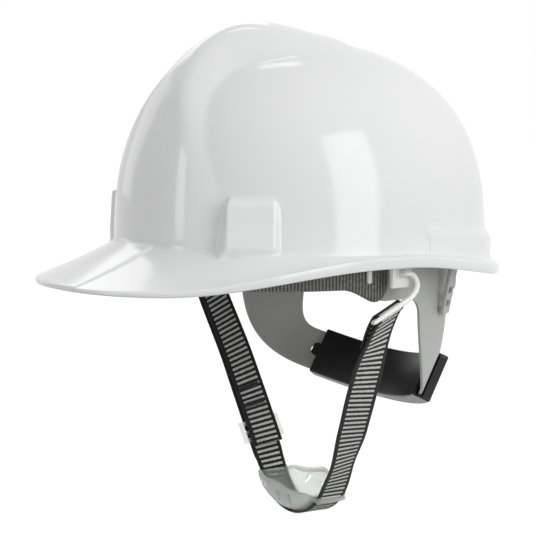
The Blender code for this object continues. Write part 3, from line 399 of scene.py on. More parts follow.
def linear(code: str) -> tuple[float, float, float, float]:
    """A colour's linear values from its sRGB hex code."""
    parts = [int(code[i:i + 2], 16) / 255 for i in (1, 3, 5)]
    return (*[p / 12.92 if p <= 0.04045 else ((p + 0.055) / 1.055) ** 2.4 for p in parts], 1.0)


def scale(size_mm: float) -> float:
    """A pattern's scale, in repeats to a metre, from its size in millimetres."""
    return 1000 / size_mm


def wire(tree: NodeTree, node: Node, values: Inputs = None, links: Inputs = None) -> Node:
    """Set some inputs of a node and link others.

    Args:
        tree: the material's or world's nodes.
        node: the node.
        values: values of unlinked inputs, by name or number.
        links: outputs that feed inputs, by name or number.

    Returns:
        The node.
    """
    for name, value in (values or {}).items():
        node.inputs[name].default_value = value
    for name, source in (links or {}).items():
        tree.links.new(source, node.inputs[name])
    return node


def add(
    tree: NodeTree, kind: str, settings: Inputs = None, values: Inputs = None, links: Inputs = None
) -> Node:
    """Add a node with its settings and links.

    Args:
        tree: the material's or world's nodes.
        kind: the node's type, without its Shader prefix.
        settings: attributes of the node.
        values: values of unlinked inputs, by name or number.
        links: outputs that feed inputs, by name or number.

    Returns:
        The node.
    """
    made = tree.nodes.new("ShaderNode" + kind)
    for name, value in (settings or {}).items():
        setattr(made, name, value)
    return wire(tree, made, values, links)


def blank(name: str) -> tuple[Material, NodeTree, Node]:
    """A new material, its nodes and its shader."""
    made = bpy.data.materials.new(name)
    made.use_nodes = True
    return made, made.node_tree, made.node_tree.nodes["Principled BSDF"]


@dataclass(frozen=True)
class MouldedPlastic:
    """Injection-moulded plastic: a skin with slow waves from the tool's polish and a faint cloudiness."""

    name: str
    colour: str
    cloud: str
    roughness: float
    ior: float = 1.5
    wave_mm: float = 6.0
    wave_depth_mm: float = 0.01
    grain_mm: float = 0.9
    grain_depth_mm: float = 0.0
    cloud_mm: float = 45.0
    scatter_mm: float = 0.0
    scatter: float = 0.25
    rub: tuple = (0.3, 0.75)
    rub_gloss: tuple = (0.85, 1.2)

    def make(self) -> Material:
        """Build the material."""
        made, tree, shader = blank(self.name)
        place = {"Vector": add(tree, "TexCoord").outputs["Object"]}
        cloud = add(tree, "TexNoise", values={"Scale": scale(self.cloud_mm), "Detail": 4.0}, links=place)
        colours = {6: linear(self.colour), 7: linear(self.cloud)}
        tint = add(tree, "Mix", {"data_type": "RGBA"}, colours, {0: cloud.outputs["Fac"]})
        rub = add(tree, "TexNoise", values={"Scale": scale(self.wave_mm), "Detail": 6.0}, links=place)
        span = {"From Min": self.rub[0], "From Max": self.rub[1]}
        span |= {"To Min": self.roughness * self.rub_gloss[0], "To Max": self.roughness * self.rub_gloss[1]}
        gloss = add(tree, "MapRange", values=span, links={"Value": rub.outputs["Fac"]})
        normal = {}
        bumps = ((self.wave_mm, 1.0, self.wave_depth_mm), (self.grain_mm, 2.0, self.grain_depth_mm))
        for size, detail, depth in bumps:
            if depth:
                noise = add(tree, "TexNoise", values={"Scale": scale(size), "Detail": detail}, links=place)
                swell = {"Strength": 1.0, "Distance": depth * MM}
                bump = add(tree, "Bump", values=swell, links={"Height": noise.outputs["Fac"]} | normal)
                normal = {"Normal": bump.outputs["Normal"]}
        values = {"IOR": self.ior}
        if self.scatter_mm:
            values |= {"Subsurface Weight": self.scatter, "Subsurface Scale": MM}
            values |= {"Subsurface Radius": (self.scatter_mm,) * 3}
        links = {"Base Color": tint.outputs[2], "Roughness": gloss.outputs["Result"]}
        wire(tree, shader, values, links | normal)
        return made


@dataclass(frozen=True)
class MilkyPlastic:
    """Thin natural polyethylene, moulded: waxy, cloudy and let through by light."""

    name: str
    colour: str
    haze: str
    roughness: float
    through: float
    haze_mm: float = 12.0
    haze_gloss: tuple = (0.8, 1.25)
    wave_mm: float = 5.0
    wave_depth_mm: float = 0.02
    scatter_mm: float = 5.0
    ior: float = 1.3
    coat: tuple = (0.6, 0.3)

    def make(self) -> Material:
        """Build the material."""
        made, tree, shader = blank(self.name)
        place = {"Vector": add(tree, "TexCoord").outputs["Object"]}
        cloud = add(tree, "TexNoise", values={"Scale": scale(self.haze_mm), "Detail": 5.0}, links=place)
        colours = {6: linear(self.colour), 7: linear(self.haze)}
        tint = add(tree, "Mix", {"data_type": "RGBA"}, colours, {0: cloud.outputs["Fac"]})
        span = {"To Min": self.roughness * self.haze_gloss[0], "To Max": self.roughness * self.haze_gloss[1]}
        gloss = add(tree, "MapRange", values=span, links={"Value": cloud.outputs["Fac"]})
        wave = add(tree, "TexNoise", values={"Scale": scale(self.wave_mm), "Detail": 2.0}, links=place)
        depth = {"Strength": 1.0, "Distance": self.wave_depth_mm * MM}
        swell = add(tree, "Bump", values=depth, links={"Height": wave.outputs["Fac"]})
        values = {"IOR": self.ior, "Coat Weight": self.coat[0], "Coat Roughness": self.coat[1]}
        values |= {"Transmission Weight": self.through, "Subsurface Weight": 1.0}
        values |= {"Subsurface Radius": (self.scatter_mm,) * 3, "Subsurface Scale": MM}
        links = {"Base Color": tint.outputs[2], "Roughness": gloss.outputs["Result"]}
        wire(tree, shader, values, links | {"Normal": swell.outputs["Normal"]})
        return made


@dataclass(frozen=True)
class WovenTape:
    """Woven tape: ribs of weft across it, twisted yarns along it with painted shade between them, and
    selvedges bound in their own yarn.
    """

    name: str
    stripe: str
    ground: str
    selvedge: str
    width_mm: float
    selvedge_mm: float
    pitch_mm: float
    stripe_share: float
    yarn_mm: float
    rib_depth_mm: float
    stray: float = 0.1
    stripe_edge: float = 0.3
    selvedge_edge_mm: float = 0.4
    # Share of a stripe's colour kept in the painted shade between the yarns
    groove_painted_shade: float = 0.72
    yarn_lift: float = 0.35
    roughness: tuple = (0.7, 0.95)
    sheen: tuple = (0.08, 0.4)
    ior: float = 1.5

    def make(self) -> Material:
        """Build the material from the tape's map: X along it, Y across it from its middle."""
        made, tree, shader = blank(self.name)
        place = add(tree, "UVMap", {"uv_map": "UVMap"}).outputs["UV"]
        split = add(tree, "SeparateXYZ", links={0: place}).outputs
        times, eased = {"operation": "MULTIPLY"}, {"interpolation_type": "SMOOTHSTEP"}
        grain = {"Scale": scale(self.yarn_mm * 2), "Detail": 3.0}
        fuzz = add(tree, "TexNoise", values=grain, links={"Vector": place}).outputs["Fac"]
        pitch = self.pitch_mm * MM
        span = {"To Min": -self.stray * pitch, "To Max": self.stray * pitch}
        stray = add(tree, "MapRange", values=span, links={"Value": fuzz}).outputs["Result"]
        along = add(tree, "Math", {"operation": "ADD"}, links={0: split["X"], 1: stray})
        turns = add(tree, "Math", times, {1: 2 * pi / pitch}, {0: along.outputs[0]})
        swing = add(tree, "Math", {"operation": "SINE"}, links={0: turns.outputs[0]})
        level = sin(pi * (0.5 - self.stripe_share))
        span = {"From Min": level - self.stripe_edge, "From Max": level + self.stripe_edge}
        bar = add(tree, "MapRange", eased, span, {"Value": swing.outputs[0]}).outputs["Result"]
        off = add(tree, "Math", {"operation": "ABSOLUTE"}, links={0: split["Y"]})
        start = (self.width_mm / 2 - self.selvedge_mm) * MM
        span = {"From Min": start, "From Max": start + self.selvedge_edge_mm * MM}
        span |= {"To Min": 1.0, "To Max": 0.0}
        inside = add(tree, "MapRange", eased, span, {"Value": off.outputs[0]}).outputs["Result"]
        shown = add(tree, "Math", times, links={0: bar, 1: inside}).outputs[0]
        yarns = add(tree, "Math", times, {1: 2 * pi / (self.yarn_mm * MM)}, {0: split["Y"]})
        ridge = add(tree, "Math", {"operation": "SINE"}, links={0: yarns.outputs[0]}).outputs[0]
        # Painted shade: the stripes are darkened towards the colour under them in the grooves between the
        # yarns along the tape
        span = {"From Min": -1.0, "To Min": self.groove_painted_shade, "To Max": 1.0}
        yarn_painted_shade = add(tree, "MapRange", values=span, links={"Value": ridge}).outputs["Result"]
        stripe_with_painted_shade = add(tree, "Math", times, links={0: shown, 1: yarn_painted_shade}).outputs[0]
        colours = {6: linear(self.selvedge), 7: linear(self.ground)}
        cloth = add(tree, "Mix", {"data_type": "RGBA"}, colours, {0: inside}).outputs[2]
        tint = add(tree, "Mix", {"data_type": "RGBA"}, {7: linear(self.stripe)}, {0: stripe_with_painted_shade, 6: cloth})
        lift = add(tree, "Math", {"operation": "MULTIPLY_ADD"}, {1: self.yarn_lift}, {0: ridge, 2: shown})
        depth = {"Strength": 1.0, "Distance": self.rib_depth_mm * MM}
        relief = add(tree, "Bump", values=depth, links={"Height": lift.outputs[0]})
        span = {"To Min": self.roughness[0], "To Max": self.roughness[1]}
        soft = add(tree, "MapRange", values=span, links={"Value": fuzz})
        values = {"IOR": self.ior, "Sheen Weight": self.sheen[0], "Sheen Roughness": self.sheen[1]}
        links = {"Base Color": tint.outputs[2], "Roughness": soft.outputs["Result"]}
        wire(tree, shader, values, links | {"Normal": relief.outputs["Normal"]})
        return made


@dataclass(frozen=True)
class FlutedCloth:
    """Brushed cotton over foam, bonded in flutes: dull and dark, with painted light on the crests and painted
    shade in the valleys, and a random tone from the nap.
    """

    name: str
    crest: str
    valley: str
    pitch_mm: float
    thread_mm: float
    thread_depth_mm: float
    # Share of the flute's painted light and shade in the tone, and the span over which flute and nap ease
    # from valley to crest colour
    painted_flute_share: float = 0.3
    rub: tuple = (0.25, 0.95)
    roughness: tuple = (0.8, 1.0)
    sheen: tuple = (0.25, 0.5)

    def make(self) -> Material:
        """Build the material from the band's map: X along it, Y over its section."""
        made, tree, shader = blank(self.name)
        place = {"Vector": add(tree, "UVMap", {"uv_map": "UVMap"}).outputs["UV"]}
        split = add(tree, "SeparateXYZ", links=place)
        rate = {1: 2 * pi / (self.pitch_mm * MM)}
        turns = add(tree, "Math", {"operation": "MULTIPLY"}, rate, {0: split.outputs["X"]})
        flute = add(tree, "Math", {"operation": "COSINE"}, links={0: turns.outputs[0]}).outputs[0]
        grain = {"Scale": scale(self.thread_mm * 3), "Detail": 5.0}
        nap = add(tree, "TexNoise", values=grain, links=place).outputs["Fac"]
        # Painted light and shade: lighter on the flute's crests and darker in its valleys, with the nap's
        # random tone added
        flute_light_and_nap = add(tree, "Math", {"operation": "MULTIPLY_ADD"}, {1: self.painted_flute_share}, {0: flute, 2: nap})
        span = {"From Min": self.rub[0], "From Max": self.rub[1]}
        eased = {"interpolation_type": "SMOOTHSTEP"}
        share = add(tree, "MapRange", eased, span, {"Value": flute_light_and_nap.outputs[0]})
        colours = {6: linear(self.valley), 7: linear(self.crest)}
        tint = add(tree, "Mix", {"data_type": "RGBA"}, colours, {0: share.outputs["Result"]})
        cells = add(tree, "TexVoronoi", values={"Scale": scale(self.thread_mm)}, links=place)
        depth = {"Strength": 1.0, "Distance": self.thread_depth_mm * MM}
        relief = add(tree, "Bump", values=depth, links={"Height": cells.outputs["Distance"]})
        span = {"To Min": self.roughness[0], "To Max": self.roughness[1]}
        rough = add(tree, "MapRange", values=span, links={"Value": nap})
        values = {"Sheen Weight": self.sheen[0], "Sheen Roughness": self.sheen[1]}
        links = {"Base Color": tint.outputs[2], "Roughness": rough.outputs["Result"]}
        wire(tree, shader, values, links | {"Normal": relief.outputs["Normal"]})
        return made


# Acrylonitrile-butadiene-styrene from a polished tool: clear mirror of the lamps over a cool white.
SHELL_WHITE = MouldedPlastic("abs_gloss_moulded", "#E6E7E6", "#E2E3E3", 0.13, 1.53, 9.0, 0.004, cloud_mm=80.0)
# Polyethylene from a matt tool: soft light, a fine grain, grey as putty.
BAND_GREY = MouldedPlastic(
    "polyethylene_satin_moulded", "#B4B5B3", "#ABADAB", 0.42, 1.51, 7.0, 0.01, 0.8, 0.006, 30.0
)
# Polypropylene with carbon black, gloss tool: deep black with sharp streaks of light.
SLEEVE_BLACK = MouldedPlastic(
    "polypropylene_black_moulded", "#141415", "#1B1B1C", 0.33, 1.4, 11.0, 0.02, 1.2, 0.004
)
# Natural nylon, moulded: ivory white, light enters its skin a little.
NYLON_WHITE = MouldedPlastic(
    "nylon_white_moulded", "#F4F4F2", "#EFEFEC", 0.32, 1.53, 5.0, 0.01, cloud_mm=14.0, scatter_mm=1.2
)
# Low-density polyethylene, about 1.6 mm thick: what lies behind it shows as a grey shape.
CUP_MILKY = MilkyPlastic("polyethylene_milky_moulded", "#F0F1F0", "#E6E8E6", 0.8, 0.94)
# Polypropylene tape, black with floated white weft bars 3.3 mm apart; the bars carry painted shade between
# their yarns.
CHIN_TAPE = WovenTape(
    "polypropylene_tape_woven", "#E2E2E0", "#121213", "#0B0B0C", 19.5, 2.7, 3.3, 0.46, 0.8, 0.16
)
# Polyester tape, plain weave, bleached: its ground, darker than its stripes, is painted shade between the
# raised weft ribs; yarns drawn at 0.9 mm so that they show, with painted shade between them.
CROWN_TAPE = WovenTape(
    "polyester_tape_woven", "#E2E1DA", "#C9C8C0", "#D8D7CF", 15.0, 1.4, 1.8, 0.5, 0.9, 0.14
)
# Cotton jersey on foam, dull: grey ridges with dark grooves between them, the difference being painted light
# on the ridges and painted shade in the grooves.
SWEAT_CLOTH = FlutedCloth("cotton_foam_fluted", "#949492", "#4A4A49", 2.0, 0.7, 0.12)
# Bonded polyester thread, black, twisted: small round highlights on each stitch.
THREAD_BLACK = MouldedPlastic("polyester_thread_twisted", "#19191A", "#242425", 0.55, 1.5, 0.8, 0.05)


# Pieces


@dataclass
class Shell:
    """One moulded skin: dome, raised crown band, pocket bosses, visor and rim, with sockets inside."""

    wall: float = 0.0026
    half_width: float = 0.099
    front_length: float = 0.110
    rear_length: float = 0.1195
    crown_height: float = 0.137
    wall_exponent: float = 2.9
    root_side: float = 0.016
    root_front_rise: float = 0.0058
    root_rear_drop: float = 0.011
    root_curves: tuple = (1.7, 1.3)
    rim_flange: float = 0.0085
    visor_reach: float = 0.054
    visor_exponent: float = 2.35
    visor_sag: float = 0.0012
    edge_side: float = 0.010
    edge_front_drop: float = 0.012
    edge_rear_drop: float = 0.014
    edge_ease: tuple = (0.05, 0.85)
    lip_front: float = 0.0017
    lip_rear: float = 0.0055
    lip_round: float = 0.0014
    fillet: float = 0.0021
    strip_half_width: float = 0.0195
    strip_edge: float = 0.0014
    strip_raise: float = 0.0015
    band_stations: tuple = (
        (0.0, 0.040, 0.058, 0.0050),
        (23.0, 0.038, 0.056, 0.0035),
        (36.0, 0.028, 0.041, 0.0040),
        (47.0, 0.012, 0.029, 0.0092),
        (58.0, 0.006, 0.026, 0.0142),
        (73.0, 0.002, 0.036, 0.0158),
        (90.0, 0.000, 0.044, 0.0068),
        (98.0, 0.000, 0.040, 0.0042),
    )
    band_step: float = 2.5
    band_corners: tuple = (0.30, 0.09)
    nape_proud: tuple = (0.0016, 0.0036)
    nape_end: float = 101.6
    nape_full: float = 150.0
    nape_step: float = 1.6
    nape_flare: float = 2.6
    nape_ramp: tuple = (0.010, 0.018)
    boss_turns: tuple = (38.0, 51.0)
    boss_proud: tuple = (0.0095, 0.0035)
    boss_ramp: tuple = (1.3, 4.2)
    boss_corners: tuple = (0.16, 0.1)
    boss_round: float = 3.0
    boss_drop: tuple = (0.0055, 0.45)
    boss_heights: tuple = (0.0455, 0.0500)
    boss_lean: float = radians(4.0)
    clearance: float = 0.0003
    key_turns: tuple = (44.5, 120.0)
    key_insets: tuple = (0.0010, 0.0045)
    key_size: tuple = (0.016, 0.0022, 0.016)
    lug_size: tuple = (0.014, 0.0023, 0.016)
    lug_inset: float = 0.0045
    lug_y: float = 0.0065
    pocket_wall: float = 0.0020
    pocket_skirt: float = 0.0010
    pocket_bite: float = 0.6
    pocket_edge: float = 0.0004
    rim_span: tuple = (0.12, 0.76)
    rim_drops: tuple = (0.24, 0.34, 0.24)
    # The most that a boss's foot and the fillet take of the flange, and the lip's round of the lip
    share_limits: tuple = (0.6, 0.35, 0.7)
    # The mesh: falls at the ends of the crown's rows, rows from the crown down to the lip, rows of the lip
    # that have no inner face, and turns with the count of lines up to each
    crown_falls: tuple = (1.5, 58.0)
    mesh_rows: tuple = (38, 34, 7, 22, 5)
    lip_rows: int = 9
    front_stops: tuple = ((6.5, 7), (13.0, 19), (30.0, 12), (39.0, 20), (50.5, 9), (54.5, 10))
    nape_stops: tuple = ((-3.4, 26), (0.8, 17))
    rear_lines: int = 36

    def __post_init__(self) -> None:
        """Take the plan of the dome's root."""
        self.plan = Oval(self.half_width, self.front_length, self.rear_length)

    def root_height(self, turn: float) -> float:
        """Height of the line where the dome meets the visor or rim."""
        ahead = cos(radians(turn))
        front, rear = self.root_curves
        rise = self.root_front_rise * max(ahead, 0.0) ** front
        return self.root_side + rise - self.root_rear_drop * max(-ahead, 0.0) ** rear

    def dome_point(self, turn: float, fall: float) -> Vector:
        """Outer dome without relief; fall is 0 at the crown and 90 at the root."""
        root = self.root_height(turn)
        rise = max(cos(radians(fall)), 0.0) ** (2 / self.wall_exponent)
        return self.plan.point(turn, root + (self.crown_height - root) * rise, sin(radians(fall)))

    def dome_normal(self, turn: float, fall: float) -> Vector:
        """Outward direction of the bare dome."""
        step = 0.5
        low = max(fall, 2 * step)
        along = self.dome_point(turn + step, low) - self.dome_point(turn - step, low)
        down = self.dome_point(turn, min(low + step, 90)) - self.dome_point(turn, low - step)
        return down.cross(along).normalized()

    def band_section(self, bearing: float) -> list[float]:
        """Crest half width, foot half width and height of the crown band at a bearing over the crown."""
        stations = self.band_stations
        last = len(stations) - 1
        i = max(k for k in range(last) if stations[k][0] <= bearing or k == 0)
        before, near, far, after = (stations[min(max(k, 0), last)] for k in range(i - 1, i + 3))
        span = far[0] - near[0]
        share = clamp((bearing - near[0]) / span)
        section = []
        for k in (1, 2, 3):
            leave = (far[k] - before[k]) / (far[0] - before[0]) * span
            arrive = (after[k] - near[k]) / (after[0] - near[0]) * span
            section.append(cubic(near[k], near[k] + leave / 3, far[k] - arrive / 3, far[k], share))
        return section

    def band_relief(self, point: Vector) -> float:
        """Height of the crown band over the bare dome."""
        bearing = degrees(atan2(point.z / self.crown_height, -point.y / self.front_length))
        crest, foot, height = self.band_section(bearing)
        end = self.band_stations[-1][0]
        height *= 1 - smooth(bearing, end, end + self.band_step)
        return height * self.slope((abs(point.x) - crest) / (foot - crest), *self.band_corners)

    def slope(self, share: float, crest: float, foot: float) -> float:
        """A straight slope from 1 to 0 with short rounded corners."""

        def ramp(value: float, curve: float) -> float:
            """A ramp that starts from 0 in a short curve."""
            return value if value >= curve else max(value + curve, 0.0) ** 2 / (4 * curve)

        return 1 - ramp(share, crest) + ramp(share - 1, foot)

    def boss_plane(self) -> tuple[Vector, Vector]:
        """A point of the left front pocket's flat face and its outward direction."""
        front, rear = (
            self.dome_point(turn, 90) + self.plan.normal(turn) * proud
            for turn, proud in zip(self.boss_turns, self.boss_proud)
        )
        along = Vector((rear.x - front.x, rear.y - front.y, 0)).normalized()
        return front, along.cross(UP) * cos(self.boss_lean) + UP * sin(self.boss_lean)

    def boss_relief(self, turn: float, point: Vector, normal: Vector) -> float:
        """Height of a front pocket's boss over the bare dome."""
        start, end = self.boss_turns
        climb = smooth(point.z, self.root_height(turn), self.boss_heights[1])
        ramp = self.boss_ramp[1] + (self.boss_ramp[0] - self.boss_ramp[1]) * climb
        hold = self.slope((start - turn) / ramp, *self.boss_corners)
        hold *= 1 - smooth(turn, end, end + self.boss_round)
        aside = (2 * turn - start - end - self.boss_round) / (end - start + self.boss_round)
        most, begin = self.boss_drop
        drop = most * (max(0.0, aside - begin) / (1 - begin)) ** 2
        hold *= 1 - smooth(point.z + drop, *self.boss_heights)
        if hold <= 0:
            return 0.0
        origin, out = self.boss_plane()
        return hold * max((origin - point).dot(out) / normal.dot(out), 0.0)

    def shell_point(self, turn: float, fall: float) -> Vector:
        """Outer dome with its relief."""
        point = self.dome_point(turn, fall)
        normal = self.dome_normal(turn, fall)
        half = self.nape_step / 2
        low, high = self.nape_ramp
        climb = (point.z - self.root_height(turn) - low) / (high - low)
        end = self.nape_end - self.nape_flare * clamp(climb)
        nape = smooth(turn, end - half, end + half) * (1 - smooth(climb))
        nape *= between(((self.nape_end, self.nape_proud[0]), (self.nape_full, self.nape_proud[1])), turn)
        relief = self.band_relief(point) + nape
        return point + normal * (relief + self.boss_relief(turn, point + normal * relief, normal))

    def edge_point(self, turn: float) -> Vector:
        """Lowest outer line of the visor and rim."""
        angle = radians(turn)
        ahead = cos(angle)
        power = 2 / self.visor_exponent if ahead > 0 else 1.0
        length = self.front_length + self.visor_reach if ahead > 0 else self.rear_length + self.rim_flange
        drop = self.edge_front_drop * smooth(ahead, *self.edge_ease) + self.edge_rear_drop * smooth(-ahead)
        return Vector((
            (self.half_width + self.rim_flange) * max(sin(angle), 0.0) ** power,
            -length * (1 if ahead > 0 else -1) * abs(ahead) ** power,
            self.edge_side - drop,
        ))

    def visor_point(self, turn: float, root: Vector, share: float) -> Vector:
        """Top of the visor or rim, from the root at 0 to the top of the lip at 1."""
        lip = self.lip_rear + (self.lip_front - self.lip_rear) * smooth(cos(radians(turn)))
        point = root.lerp(self.edge_point(turn) + UP * lip, share)
        ahead = max(cos(radians(turn)), 0.0)
        point.z -= self.visor_sag * ahead * 4 * share * (1 - share)
        if ahead > 0:
            half = self.strip_edge / 2
            strip = 1 - smooth(point.x, self.strip_half_width - half, self.strip_half_width + half)
            point.z += self.strip_raise * strip * (1 - share / 2)
        return point

    def profile(self, turn: float) -> list[Vector]:
        """Points of the outer skin at a turn, from round the crown to the rim's lowest edge."""
        crown, wall, bend, visor, round_lip = self.mesh_rows
        foot_most, fillet_most, lip_most = self.share_limits
        span = self.crown_height - self.root_height(turn)
        falls = spread(*self.crown_falls, crown)
        high = cos(radians(falls[-1])) ** (2 / self.wall_exponent)
        for rise in spread(high, self.fillet / span, wall)[1:]:
            falls.append(degrees(acos(rise ** (self.wall_exponent / 2))))
        root = self.dome_point(turn, 90)
        edge = self.edge_point(turn)
        proud = (self.shell_point(turn, 90) - root).length
        lip = self.visor_point(turn, root, 1.0)
        flange = (lip - root).length
        foot = min(proud / flange, foot_most)
        start = foot + min(self.fillet / flange, fillet_most)
        points = [self.shell_point(turn, fall) for fall in falls]
        tip, after = (self.visor_point(turn, root, share) for share in (foot, start))
        points += corner(points[-1], tip, after, bend)[1:]
        for share in spread(start, 1 - self.lip_round / flange, visor)[1:]:
            points.append(self.visor_point(turn, root, share))
        down = min(self.lip_round / (lip - edge).length, lip_most)
        return points + corner(points[-1], lip, lip.lerp(edge, down), round_lip)[1:] + [edge]

    def turns(self) -> list[float]:
        """Turns of the left half's mesh lines, closest where the relief changes fastest."""
        lines = [0.0]
        nape = tuple((self.nape_end + turn, count) for turn, count in self.nape_stops)
        for stop, count in (*self.front_stops, *nape, (180.0, self.rear_lines)):
            lines += spread(lines[-1], stop, count)[1:]
        return lines

    def key_frame(self, side: Side, end: End) -> Matrix:
        """Frame of a key's socket: X along the wall, Y outward, Z up, at the dome's root."""
        turn = self.key_turns[end.value]
        outward = flip(side, self.plan.normal(turn))
        return frame_of(flip(side, self.dome_point(turn, 90)), outward.cross(UP), outward, UP)

    def lug_frame(self, side: Side) -> Matrix:
        """Frame of a strap lug's socket, facing straight out."""
        base = flip(side, self.dome_point(degrees(acos(-self.lug_y / self.rear_length)), 90))
        outward = ACROSS * side.value
        return frame_of(base, outward.cross(UP), outward, UP)

    def socket(self, form: Form, place: Matrix, size: tuple, inset: float, side: Side, boss: bool) -> None:
        """Add a socket inside the rim, open below.

        Args:
            form: the mesh to add to.
            place: the socket's frame.
            size: width, thickness and rise of the tongue that it takes.
            inset: how far the tongue's outer face lies inside the dome's root.
            side: the side that it is on.
            boss: whether it reaches out to a front boss's face.
        """
        width, thickness, rise = size
        half = width / 2 + self.clearance + self.pocket_wall
        back = -inset - thickness - self.clearance - self.pocket_wall
        low = -self.wall - self.pocket_skirt
        high = rise + self.clearance + self.pocket_wall
        origin, out = self.boss_plane()
        out = flip(side, out)
        rings = []
        for level in (high, low):
            ring = [place @ Vector((x, back, level)) for x in (-half, half)]
            for near in reversed(ring[:]):
                reach = -back - self.wall / 2
                facing = place.col[1].xyz
                if boss:
                    wall = flip(side, origin) - out * self.wall * self.pocket_bite
                    reach = (wall - near).dot(out) / facing.dot(out)
                ring.append(near + facing * reach)
            rings.append(ring)
        inner = width / 2 + self.clearance
        near, far = -inset - thickness - self.clearance, -inset + self.clearance
        mouth = ((-inner, near), (inner, near), (inner, far), (-inner, far))
        for level in (low, rise + self.clearance):
            rings.append([place @ Vector((x, y, level)) for x, y in mouth])
        form.loft(rings)

    def build(self, finish: Material) -> None:
        """Build the skin with its inner face and sockets, and dress it."""
        turns = self.turns()
        left = [self.profile(turn) for turn in turns]
        for profile in (left[0], left[-1]):
            for point in profile:
                point.x = 0.0
        columns = left + [[flip(Side.RIGHT, p) for p in profile] for profile in reversed(left[1:-1])]
        outer = [list(row) for row in zip(*columns)]
        count = len(columns)
        inner = []
        for i in range(0, len(outer) - self.lip_rows, 2):
            upper, lower = outer[max(i - 1, 0)], outer[i + 1]
            row = []
            for j, point in enumerate(outer[i]):
                along = outer[i][(j + 1) % count] - outer[i][j - 1]
                row.append(point - (lower[j] - upper[j]).cross(along).normalized() * self.wall)
            inner.append(row)
        rim = []
        near, wide = self.rim_span
        for share, drop in zip((0.0, 0.5, 1.0), self.rim_drops):
            row = []
            for edge, under in zip(outer[-1], inner[-1]):
                inward = Vector((under.x - edge.x, under.y - edge.y, 0)).normalized()
                far = edge + inward * self.wall
                far.z = min(edge.z, under.z)
                row.append(edge.lerp(far, near + wide * share) - UP * self.wall * drop)
            rim.append(row)
        form = Form()
        made = form.sheet(outer + rim + inner[::-1], True)
        top = self.shell_point(0, 0).z
        for ring, height in ((made[0], top), (made[-1], top - self.wall)):
            form.fan(Vector((0, 0, height)), ring)
        fit_on(form.piece("shell_skin"), finish, Body.HAT, Slot.SHELL, "shell")
        form = Form()
        for side in Side:
            for end, inset in zip(End, self.key_insets):
                place = self.key_frame(side, end)
                self.socket(form, place, self.key_size, inset, side, end is End.FRONT)
            self.socket(form, self.lug_frame(side), self.lug_size, self.lug_inset, side, False)
        form.round_over(self.pocket_edge, 50.0, 2)
        fit_on(form.piece("shell_sockets", 40.0), finish, Body.HAT, Slot.SHELL, "shell")


